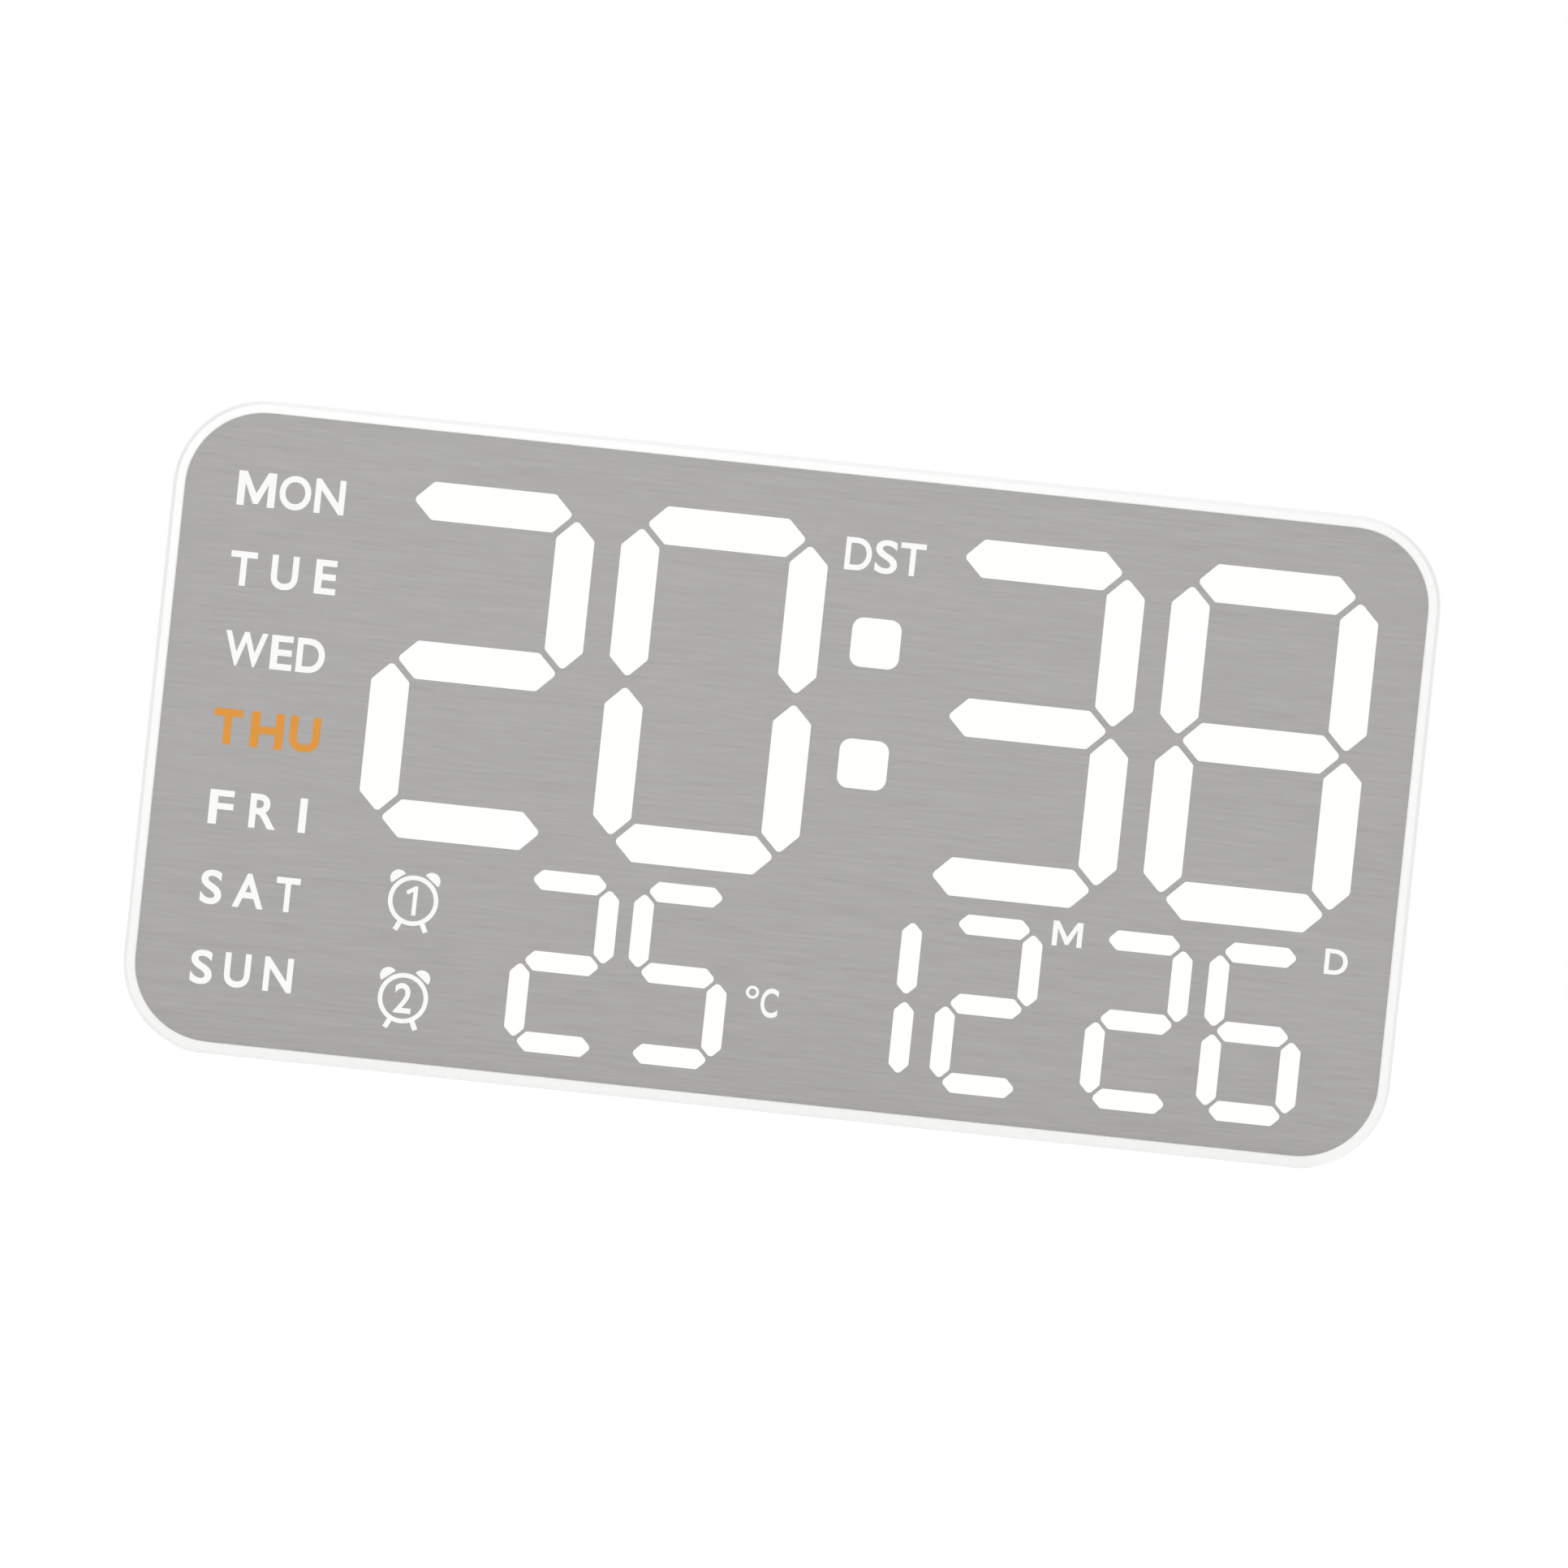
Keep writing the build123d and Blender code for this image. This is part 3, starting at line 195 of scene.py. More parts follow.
# %% [markdown]
# ## Metals
# Screws are zinc plated, contacts and the power socket are nickel plated, the crystal and the capacitors
# have drawn cans, and the leg's pin is bright wire. The base colour of a metal is the colour of its
# reflections. Drawing and rolling leave lines along one direction. Anisotropy in the shader would stretch
# the highlight without showing a line, so a Mapping node stretches a noise along that direction instead.

# %% Metal finishes
# A drawn line is this many times longer than wide, and this much smoother or rougher than its neighbours
DRAWN, LINE_SMOOTH, LINE_ROUGH = 8.0, 0.08, 0.1


def plated(name, colour, shade, roughness, line, along):
    """Metal with drawn lines of a given width in millimetres, longer along one axis."""
    material, tree, shader, place = new_material(name)
    scale = [1 / (line * MM)] * 3
    scale["XYZ".index(along)] /= DRAWN
    spot = add(tree, "ShaderNodeMapping", {"Vector": place, "Scale": tuple(scale)})
    lines = add(tree, "ShaderNodeTexNoise", {"Vector": spot, "Scale": 1.0, "Detail": 3.0})
    tint = add(
        tree,
        "ShaderNodeMix",
        {"Factor": lines, COLOUR_A: linear(colour), COLOUR_B: linear(shade)},
        data_type="RGBA",
    )
    gloss = add(
        tree,
        "ShaderNodeMapRange",
        {"Value": lines, "To Min": roughness - LINE_SMOOTH, "To Max": roughness + LINE_ROUGH},
    )
    feed(tree, shader, {"Base Color": tint.outputs[MIXED_COLOUR], "Roughness": gloss, "Metallic": 1.0})
    return material


# Real lines are a few hundredths of a millimetre wide, so these are drawn coarser to show at all

# Zinc plate: pale and a little blue, with a soft sheen
zinc_steel = plated("zinc plated steel", "#C4C6C8", "#A9ABAE", 0.3, 0.4, "X")
# Nickel plate: warm and smooth
nickel_steel = plated("nickel plated steel", "#CFCBC2", "#BAB6AD", 0.24, 0.3, "Z")
# Drawn aluminium: light, with lines up the can
drawn_aluminium = plated("drawn aluminium", "#D3D5D7", "#C0C3C6", 0.28, 0.3, "Y")
# Bright wire: smooth, with lines along the pin
bright_wire = plated("bright steel wire", "#C9CACB", "#ADAEB0", 0.22, 0.25, "X")
print("metals", [m.name for m in (zinc_steel, nickel_steel, drawn_aluminium, bright_wire)])

# %% [markdown]
# ## The silver film
# The face is a plastic film printed silver, with brushed lines that run across it. A full metal shader
# would mirror the room, but the real print is dull, so it is a grey with only a little metal in it. The
# lines are about 10 mm long and far thinner than a pixel, so they are drawn about half a millimetre high,
# in two sizes, and shift the grey only a little.

# %% Silver film
STREAK_LONG, STREAK_HIGH = 9.0, 0.55
BAND_LONG, BAND_HIGH, BAND_SHARE = 30.0, 2.2, 0.35
FILM_DARK, FILM_LIGHT = "#939291", "#B1B0AE"
FILM_SMOOTH, FILM_ROUGH = 0.42, 0.56
# Polyester has an IOR of 1.57, and the matt print over it takes half of its gloss
FILM_PLAIN = {"Metallic": 0.1, "IOR": 1.57, "Specular IOR Level": 0.25}


def silver_film():
    """Silver print with brushed lines in two sizes along X."""
    material, tree, shader, place = new_material("brushed silver film")
    lines = []
    for long, high in ((STREAK_LONG, STREAK_HIGH), (BAND_LONG, BAND_HIGH)):
        scale = (1 / (long * MM), 1 / (long * MM), 1 / (high * MM))
        spot = add(tree, "ShaderNodeMapping", {"Vector": place, "Scale": scale})
        lines.append(add(tree, "ShaderNodeTexNoise", {"Vector": spot, "Scale": 1.0, "Detail": 2.0}))
    streaks, bands = lines
    both = add(
        tree, "ShaderNodeMix", {"Factor": BAND_SHARE, NUMBER_A: streaks, NUMBER_B: bands}, data_type="FLOAT"
    )
    tint = add(
        tree,
        "ShaderNodeMix",
        {"Factor": both, COLOUR_A: linear(FILM_DARK), COLOUR_B: linear(FILM_LIGHT)},
        data_type="RGBA",
    )
    gloss = add(tree, "ShaderNodeMapRange", {"Value": both, "To Min": FILM_SMOOTH, "To Max": FILM_ROUGH})
    feed(tree, shader, {"Base Color": tint.outputs[MIXED_COLOUR], "Roughness": gloss, **FILM_PLAIN})
    return material


# Brushed silver film: an even grey with fine level streaks
brushed_silver = silver_film()
print("face finish", brushed_silver.name, "with", len(brushed_silver.node_tree.nodes), "nodes")

# %% [markdown]
# ## The lit sheet and the inks
# The opal sheet behind the face is lit from behind. A lamp behind every window would be true to the real
# clock and slow to render, so the sheet is a light of its own, where strength 1 is the white of a lit
# segment. The white words are printed ink drawn as a painted glow: the ink is a light of its own, though no
# light reaches it through the film. One word is lit amber, also as a light of its own.

# %% Lit finishes
def glowing(name, colour, other, patch, strength):
    """Surface that shines as a light of its own, its colour drifting to another over patches of a given size
    in millimetres.
    """
    material, tree, shader, place = new_material(name)
    cloud = add(tree, "ShaderNodeTexNoise", {"Vector": place, "Scale": 1 / (patch * MM), "Detail": 1.0})
    tint = add(
        tree,
        "ShaderNodeMix",
        {"Factor": cloud, COLOUR_A: linear(colour), COLOUR_B: linear(other)},
        data_type="RGBA",
    )
    feed(tree, shader, {"Emission Color": tint.outputs[MIXED_COLOUR], "Emission Strength": strength})
    feed(tree, shader, {"Base Color": linear("#000000"), "Roughness": 0.5, "Specular IOR Level": 0.0})
    return material


# Opal acrylic: an even white light
opal_acrylic = glowing("opal acrylic, lit", "#FFFFFF", "#FFFEFC", 12.0, 1.0)
# White screen ink: a painted glow, a touch less bright than the windows
glowing_white_ink = glowing("glowing white screen ink", "#FFFFFF", "#FCFCFA", 3.0, 0.97)
# Amber ink: warm, with slightly duller patches
amber_ink = glowing("amber lit ink", "#E8983A", "#D89A50", 2.5, 1.0)
print("lit finishes", [m.name for m in (opal_acrylic, glowing_white_ink, amber_ink)])

# %% [markdown]
# ## Finishes on the solids
# Each solid of the assembly belongs to a named finish of the record, so a finish is given to all of its
# pieces at once. That is shorter and safer than a list of every solid. Only the front frame differs from
# the other white shells, because its mould is polished.

# %% Give every solid its finish
FINISHES = {
    "white_shell": grained_abs,
    "silver_film": brushed_silver,
    "opal_sheet": opal_acrylic,
    "tape": foam_tape,
    "reflector": reflector_white,
    "board": solder_resist,
    "led": phosphor,
    "chip": black_epoxy,
    "can": drawn_aluminium,
    "sensor": dipped_resin,
    "socket": nickel_steel,
    "tongue": black_acetal,
    "screw": zinc_steel,
    "contact": nickel_steel,
    "button": grey_abs,
    "plunger": black_acetal,
    "pad": black_rubber,
    "pin": bright_wire,
}


def dress(node, material):
    """Puts a material in every slot of a solid."""
    for slot in frame["nodes"][node].material_slots:
        slot.material = material


for part in frame["record"]["subparts"]:
    dress(part["node"], FINISHES[part["material_slot"]])
dress("front_frame", polished_abs)

# %% [markdown]
# ## The silver face
# The face is the main piece. It is a thin film with a window for every lit segment, and its shape follows a
# rule: a digit is seven pointed bars on a grid. So each lit segment is one point with a turn and a kind,
# and Geometry Nodes draw the bar of each kind, round its corners, put it on its points, fill the film
# around all of them and give it its thickness. Cutting the windows one by one with booleans would be slower
# and rougher.

# %% Which segments are lit
LIT = {"0": "abcdef", "1": "bc", "2": "abdeg", "3": "abcdg", "5": "acdfg", "6": "acdefg", "8": "abcdefg"}
# Columns and rows between the centre lines, stroke, gap between tips, corner, pitch and middle height
Digit = namedtuple("Digit", "columns rows stroke gap corner pitch middle")
DIGITS = {
    "time": Digit(29.9, 28.2, 6.8, 1.1, 0.8, 41.45, 15.225),
    "temperature": Digit(14.4, 14.35, 3.55, 0.65, 0.75, 20.6, -35.475),
    "date": Digit(14.1, 14.05, 3.55, 0.65, 0.75, 20.65, -35.175),
}
# Numbers: figures, kind of digit, middle of the first digit
NUMBERS = [
    ("20", "time", -55.725),
    ("38", "time", 42.025),
    ("25", "temperature", -35.375),
    ("1", "date", 18.575),
    ("2", "date", 39.975),
    ("26", "date", 66.625),
]


def segments(digit):
    """Place of the seven segments of a digit, by letter, and whether each is upright."""
    half = digit.columns / 2
    return {
        "a": (0, digit.rows, False),
        "b": (half, digit.rows / 2, True),
        "c": (half, -digit.rows / 2, True),
        "d": (0, -digit.rows, False),
        "e": (-half, -digit.rows / 2, True),
        "f": (-half, digit.rows / 2, True),
        "g": (0, 0, False),
    }


def lit_segments():
    """Every lit segment: x, z, kind of digit and whether it is upright."""
    found = []
    for figures, kind, first in NUMBERS:
        digit = DIGITS[kind]
        for place, figure in enumerate(figures):
            for letter in LIT[figure]:
                dx, dz, upright = segments(digit)[letter]
                found.append((first + place * digit.pitch + dx, digit.middle + dz, kind, upright))
    return found


print("lit segments", len(lit_segments()))

# %% Sizes of the face
film_low, film_high = (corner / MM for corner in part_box("face_film"))
FACE_DEPTH = -film_low.y
FACE_SIZES = {
    "Width": film_high.x - film_low.x,
    "Height": film_high.z - film_low.z,
    "Corner": 13.85,
    "Thickness": film_high.y - film_low.y,
    "Depth": -film_high.y,
    "Dot": 8.75,
    "Dot corner": 2.0,
}
# Tips are cut at 45 degrees, so a gap between two of them shortens a bar by the gap times the root of 2
for kind, digit in DIGITS.items():
    tips = digit.gap * math.sqrt(2)
    FACE_SIZES[kind + " level"] = digit.columns - tips
    FACE_SIZES[kind + " upright"] = digit.rows - tips
    FACE_SIZES[kind + " stroke"] = digit.stroke
    FACE_SIZES[kind + " corner"] = digit.corner
print("face from depth", round(FACE_SIZES["Depth"], 2), "to", round(FACE_DEPTH, 2))

# %% The tree that draws one pointed bar
HEXAGON_HEIGHT = math.sin(math.radians(60))
ROUND_STEPS = 4


def new_tree(name, sizes, points=False):
    """Empty geometry tree with named sizes, and points if it needs them: the tree, its inputs, its end."""
    tree = bpy.data.node_groups.new(name, "GeometryNodeTree")
    tree.interface.new_socket("Geometry", in_out="OUTPUT", socket_type="NodeSocketGeometry")
    if points:
        tree.interface.new_socket("Points", in_out="INPUT", socket_type="NodeSocketGeometry")
    for label in sizes:
        tree.interface.new_socket(label, in_out="INPUT", socket_type="NodeSocketFloat")
    return tree, add(tree, "NodeGroupInput").outputs, add(tree, "NodeGroupOutput")


def bar_tree():
    """Outline of one segment: a hexagon drawn out to a length, with rounded corners."""
    tree, given, end = new_tree("pointed bar", ["Length", "Stroke", "Corner"])
    hexagon = add(tree, "GeometryNodeCurvePrimitiveCircle", {"Resolution": 6, "Radius": 1.0})
    spot = add(tree, "ShaderNodeSeparateXYZ", {0: add(tree, "GeometryNodeInputPosition")}).outputs
    half = add(tree, "ShaderNodeMath", {0: given["Length"], 1: 0.5}, operation="MULTIPLY")
    reach = add(tree, "ShaderNodeMath", {0: half, 1: given["Stroke"]}, operation="SUBTRACT")
    way = add(tree, "ShaderNodeMath", {0: spot["X"]}, operation="SIGN")
    shift = add(tree, "ShaderNodeMath", {0: way, 1: reach}, operation="MULTIPLY")
    x = add(
        tree, "ShaderNodeMath", {0: spot["X"], 1: given["Stroke"], 2: shift}, operation="MULTIPLY_ADD"
    )
    tall = add(
        tree, "ShaderNodeMath", {0: given["Stroke"], 1: 0.5 / HEXAGON_HEIGHT}, operation="MULTIPLY"
    )
    y = add(tree, "ShaderNodeMath", {0: spot["Y"], 1: tall}, operation="MULTIPLY")
    corner = add(tree, "ShaderNodeCombineXYZ", {"X": x, "Y": y})
    drawn = add(tree, "GeometryNodeSetPosition", {0: hexagon, "Position": corner})
    smooth = add(
        tree,
        "GeometryNodeFilletCurve",
        {"Curve": drawn, "Radius": given["Corner"], "Count": ROUND_STEPS},
        mode="POLY",
    )
    feed(tree, end, {0: smooth})
    return tree


pointed_bar = bar_tree()
print("nodes in a bar", len(pointed_bar.nodes))

# %% Outlines of the windows
BAR_KINDS = [(kind, upright) for kind in DIGITS for upright in (False, True)]
DOT_KIND = len(BAR_KINDS)


def on_points(tree, points, kind, outline):
    """Puts an outline on the points of one kind, turned as each point says."""
    number = add(tree, "GeometryNodeInputNamedAttribute", {"Name": "kind"}, data_type="INT")
    turn = add(tree, "GeometryNodeInputNamedAttribute", {"Name": "turn"}, data_type="FLOAT")
    chosen = add(tree, "FunctionNodeCompare", {2: number, 3: kind}, data_type="INT", operation="EQUAL")
    angles = add(tree, "ShaderNodeCombineXYZ", {"Z": turn})
    return add(
        tree,
        "GeometryNodeInstanceOnPoints",
        {"Points": points, "Selection": chosen, "Instance": outline, "Rotation": angles},
    )


def window_outlines(tree, given):
    """Outlines on all points: a bar for each kind of segment and a rounded square for the colon."""
    outlines = []
    for number, (kind, upright) in enumerate(BAR_KINDS):
        sizes = {
            "Length": given[kind + (" upright" if upright else " level")],
            "Stroke": given[kind + " stroke"],
            "Corner": given[kind + " corner"],
        }
        bar = add(tree, "GeometryNodeGroup", sizes, node_tree=pointed_bar)
        outlines.append(on_points(tree, given["Points"], number, bar))
    square = add(tree, "GeometryNodeCurvePrimitiveQuadrilateral", {0: given["Dot"], 1: given["Dot"]})
    dot = add(
        tree,
        "GeometryNodeFilletCurve",
        {"Curve": square, "Radius": given["Dot corner"], "Count": ROUND_STEPS * 2},
        mode="POLY",
    )
    outlines.append(on_points(tree, given["Points"], DOT_KIND, dot))
    return outlines


print("kinds of window", len(BAR_KINDS) + 1)

# %% The tree that draws the whole face
CORNER_STEPS = 24
# Points nearer than this become one, in millimetres like the rest of the tree before it is stood up
WELD = 0.001
QUARTER_TURN = math.radians(90)


def film_tree():
    """Film with windows: outlines filled, thickened in millimetres and stood up in their place."""
    tree, given, end = new_tree("silver face", FACE_SIZES, points=True)
    sheet = add(tree, "GeometryNodeCurvePrimitiveQuadrilateral", {0: given["Width"], 1: given["Height"]})
    edge = add(
        tree,
        "GeometryNodeFilletCurve",
        {"Curve": sheet, "Radius": given["Corner"], "Count": CORNER_STEPS},
        mode="POLY",
    )
    drawn = add(tree, "GeometryNodeJoinGeometry", {0: [edge, *window_outlines(tree, given)]})
    real = add(tree, "GeometryNodeRealizeInstances", {0: drawn})
    filled = add(tree, "GeometryNodeFillCurve", {0: real})
    front = add(
        tree,
        "GeometryNodeExtrudeMesh",
        {"Mesh": filled, "Offset Scale": given["Thickness"], "Individual": False},
    )
    rear = add(tree, "GeometryNodeFlipFaces", {0: filled})
    closed = add(tree, "GeometryNodeJoinGeometry", {0: [front, rear]})
    welded = add(tree, "GeometryNodeMergeByDistance", {0: closed, "Distance": WELD})
    back = add(tree, "ShaderNodeMath", {0: given["Depth"], 1: -MM}, operation="MULTIPLY")
    place = {
        "Translation": add(tree, "ShaderNodeCombineXYZ", {"Y": back}),
        "Rotation": (QUARTER_TURN, 0, 0),
        "Scale": (MM, MM, MM),
    }
    stood = add(tree, "GeometryNodeTransform", {0: welded, **place})
    feed(tree, end, {0: add(tree, "GeometryNodeSetMaterial", {0: stood, "Material": brushed_silver})})
    return tree


silver_tree = film_tree()
print("nodes in the face", len(silver_tree.nodes))

# %% [markdown]
# ## From a tree to a piece
# A geometry tree could stay live on its object, but the export wants plain meshes, so its result is worked
# out once and kept. The inputs are set by their identifiers before that. A finished piece has its place in
# its mesh, like the solids, and rides on one body of the clock.

# %% Work out the face
COLON_X, COLON_Z, COLON_PITCH = 13.875, 15.775, 21.5


def plain_mesh(thing, name):
    """Mesh of an object with its modifiers and curves worked out. The object itself is removed."""
    bpy.context.view_layer.update()
    shown = thing.evaluated_get(bpy.context.evaluated_depsgraph_get())
    mesh = bpy.data.meshes.new_from_object(shown)
    mesh.name = name
    bpy.data.objects.remove(thing)
    return mesh


def grown(name, tree, points, sizes):
    """Mesh that a geometry tree makes on points, with its named sizes."""
    holder = bpy.data.objects.new(name, points)
    bpy.context.scene.collection.objects.link(holder)
    modifier = holder.modifiers.new(name, "NODES")
    modifier.node_group = tree
    for item in tree.interface.items_tree:
        if item.in_out == "INPUT" and item.name in sizes:
            modifier[item.identifier] = sizes[item.name]
    return plain_mesh(holder, name)


spots = []
for x, z, kind, upright in lit_segments():
    spots.append((x, z, BAR_KINDS.index((kind, upright)), QUARTER_TURN if upright else 0.0))
for step in (-0.5, 0.5):
    spots.append((COLON_X, COLON_Z + step * COLON_PITCH, DOT_KIND, 0.0))
window_points = bpy.data.meshes.new("window points")
window_points.from_pydata([(x, z, 0) for x, z, kind, turn in spots], [], [])
window_points.attributes.new("kind", "INT", "POINT").data.foreach_set("value", [s[2] for s in spots])
window_points.attributes.new("turn", "FLOAT", "POINT").data.foreach_set("value", [s[3] for s in spots])
face_mesh = grown("silver_face", silver_tree, window_points, FACE_SIZES)
print("face", len(face_mesh.vertices), "vertices", len(face_mesh.polygons), "faces")

# %% Put the face in place of its solid
def piece(name, mesh, body):
    """Object of a finished mesh, riding on a body."""
    thing = bpy.data.objects.new(name, mesh)
    bpy.context.scene.collection.objects.link(thing)
    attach(thing, body)
    return thing


face = piece("silver_face", face_mesh, "case")
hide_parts("face_film")
print("the face has", len(spots), "windows")

# %% [markdown]
# ## Ink on the face
# Words and signs are screen printed on the film. A picture could hold them all, but it would blur close up,
# so each is a real shape. Ink has a thickness: it stands a few hundredths of a millimetre proud and hardly
# casts a shadow. A sign is drawn as flat outlines in millimetres, where an outline inside another is a
# hole. A flat curve fills and thickens them by itself, and one matrix stands them on the face, which looks
# along -Y.

# %% Outlines into ink
INK, INK_SUNK = 0.06, 0.02
RING_STEPS = 48
FRONT = Matrix.Rotation(QUARTER_TURN, 4, "X") @ Matrix.Scale(MM, 4)


def inked(outlines, turn=FRONT, depth=FACE_DEPTH, thick=INK):
    """Mesh of closed flat outlines, thickened and put on the face or the back."""
    curve = bpy.data.curves.new("ink", "CURVE")
    curve.dimensions = "2D"
    curve.fill_mode = "BOTH"
    curve.extrude = thick / 2
    for outline in outlines:
        spline = curve.splines.new("POLY")
        spline.points.add(len(outline) - 1)
        for point, (x, y) in zip(spline.points, outline):
            point.co = (x, y, 0, 1)
        spline.use_cyclic_u = True
    thing = bpy.data.objects.new("ink", curve)
    bpy.context.scene.collection.objects.link(thing)
    mesh = plain_mesh(thing, "ink")
    mesh.transform(turn @ Matrix.Translation((0, 0, depth - INK_SUNK + thick / 2)))
    return mesh


def arc(x, y, radius, start, stop, steps):
    """Points on an arc, in degrees from the right, turning left."""
    angles = [math.radians(start + (stop - start) * k / steps) for k in range(steps + 1)]
    return [(x + radius * math.cos(a), y + radius * math.sin(a)) for a in angles]


def ring(x, y, radius, line):
    """Two circles: the outside and the hole of a ring."""
    return [arc(x, y, r, 0, 360, RING_STEPS)[:-1] for r in (radius, radius - line)]


def stroke(x0, y0, x1, y1, wide):
    """Outline of a straight stroke with square ends."""
    start, end = Vector((x0, y0)), Vector((x1, y1))
    along = (end - start).normalized()
    side = Vector((-along.y, along.x)) * wide / 2
    return [start - side, end - side, end + side, start + side]


print("ink", INK, "mm thick, of which", INK_SUNK, "mm is in the film")

# %% [markdown]
# ## Letters
# The words use Blender's own plain typeface. Each letter is a text object made into a mesh and fitted to
# its own place, because the words on such a face are spaced out to fill one column. A little offset makes
# the strokes bolder. The M is the exception: its inner corners close up when it is made bolder, so it is
# drawn as an outline.

# %% Letters as meshes
TEXT_STEPS = 6
# Shares of a stem's width in an M: the shoulder beside a stem, the drop to the neck, half of the middle foot
M_SHOULDER, M_NECK, M_TOE = 1.12, 1.75, 1 / 3
# Shares of its height: the valley between the slanted strokes, and the middle foot
M_VALLEY, M_FOOT = 0.38, 0.07


def m_outline(left, right, low, high, line):
    """Outline of an M that fills a box, with stems of a given width."""
    stem = line / (right - left)
    neck, toe = 1 - stem * M_NECK, stem * M_TOE
    left_stem = [(0, 0), (0, 1), (stem * M_SHOULDER, 1)]
    right_stem = [(1 - x, y) for x, y in reversed(left_stem)]
    below = [(1 - stem, 0), (1 - stem, neck), (0.5 + toe, M_FOOT)]
    below += [(1 - x, y) for x, y in reversed(below)]
    outline = left_stem + [(0.5, M_VALLEY)] + right_stem + below
    return [(left + x * (right - left), low + y * (high - low)) for x, y in outline]


def letter(text, left, right, low, high, weight):
    """Mesh of a letter that fills a box on the face, bolder by weight."""
    curve = bpy.data.curves.new("letter", "FONT")
    curve.body = text
    curve.offset = weight
    curve.extrude = 0.5
    curve.fill_mode = "BOTH"
    curve.resolution_u = TEXT_STEPS
    thing = bpy.data.objects.new("letter", curve)
    bpy.context.scene.collection.objects.link(thing)
    mesh = plain_mesh(thing, "letter")
    xs = [v.co.x for v in mesh.vertices]
    ys = [v.co.y for v in mesh.vertices]
    size = ((right - left) / (max(xs) - min(xs)), (high - low) / (max(ys) - min(ys)), INK, 1)
    mesh.transform(Matrix.Translation((-min(xs), -min(ys), curve.extrude)))
    mesh.transform(FRONT @ Matrix.Translation((left, low, FACE_DEPTH - INK_SUNK)) @ Matrix.Diagonal(size))
    return mesh


print("corners of an M", len(m_outline(0, 1, 0, 1, 0.2)))

# %% Weekday words
LETTER_HIGH, LETTER_LINE, BOLD = 6.1, 1.3, 0.022
LIT_HIGH, LIT_BOLD = 6.3, 0.034
# Weekdays: the word, its middle height, and the left and right edge of each letter
WEEKDAYS = [
    ("MON", 42.2, ((-101.0, -94.3), (-93.6, -88.0), (-87.3, -82.0))),
    ("TUE", 28.0, ((-100.9, -96.2), (-93.6, -88.8), (-85.8, -82.0))),
    ("WED", 13.9, ((-100.4, -92.9), (-92.2, -88.3), (-87.6, -82.6))),
    ("FRI", -14.3, ((-100.2, -95.9), (-93.0, -88.2), (-84.2, -82.9))),
    ("SAT", -28.5, ((-100.2, -96.4), (-94.4, -88.9), (-86.9, -82.7))),
    ("SUN", -42.7, ((-100.5, -96.6), (-94.5, -89.9), (-87.5, -82.4))),
]
LIT_DAY = ("THU", 0.0, ((-100.9, -95.9), (-94.3, -88.5), (-87.4, -82.0)))


def word(row, height, weight):
    """Letters of one weekday."""
    text, middle, edges = row
    low, high = middle - height / 2, middle + height / 2
    letters = []
    for c, (left, right) in zip(text, edges):
        if c == "M":
            letters.append(inked([m_outline(left, right, low, high, LETTER_LINE)]))
        else:
            letters.append(letter(c, left, right, low, high, weight))
    return letters


def printed(name, meshes, ink, body):
    """One piece of several ink meshes, in one material."""
    shape = bmesh.new()
    for mesh in meshes:
        shape.from_mesh(mesh)
        bpy.data.meshes.remove(mesh)
    whole = bpy.data.meshes.new(name)
    shape.to_mesh(whole)
    shape.free()
    whole.materials.clear()
    whole.materials.append(ink)
    return piece(name, whole, body)


days = [mesh for row in WEEKDAYS for mesh in word(row, LETTER_HIGH, BOLD)]
weekdays = printed("weekday_words", days, glowing_white_ink, "case")
lit_day = printed("lit_weekday", word(LIT_DAY, LIT_HIGH, LIT_BOLD), amber_ink, "case")
print("weekday words", len(weekdays.data.vertices), "vertices, lit word", len(lit_day.data.vertices))

# %% [markdown]
# ## Small marks
# A summer time sign stands above the colon, a degree sign and a C follow the temperature, and an M and a D
# stand at the month and the day. They are made like the words, in thinner strokes. The degree sign could be
# a letter too, but as a ring its line is set in millimetres.

# %% Small marks
LIGHT, MARK_LINE = 0.016, 0.9
# Letters with the left, right, lower and upper edge of each
MARKS = [
    ("D", 6.9, 11.6, 39.0, 44.8),
    ("S", 12.2, 16.2, 38.9, 44.9),
    ("T", 16.6, 21.1, 39.0, 44.8),
    ("D", 98.6, 102.7, -23.2, -18.7),
    ("C", 0.3, 3.4, -41.2, -36.0),
]
MONTH_BOX = (50.3, 55.6, -23.2, -18.8)
DEGREE_X, DEGREE_Z, DEGREE_RADIUS, DEGREE_LINE = -1.3, -37.0, 1.15, 0.5

marks = [letter(text, *box, LIGHT) for text, *box in MARKS]
marks.append(inked([m_outline(*MONTH_BOX, MARK_LINE)]))
marks.append(inked(ring(DEGREE_X, DEGREE_Z, DEGREE_RADIUS, DEGREE_LINE)))
printed("small_marks", marks, glowing_white_ink, "case")
print("small marks", len(marks))

# %% [markdown]
# ## Alarm signs
# Two small alarm clocks stand beside the temperature: a ring with two bells on top, two feet and a number.
# They are only arcs and strokes, so they are drawn from a few sizes. The one is drawn with a flag and a
# stem, because the typeface has only a bar for it.

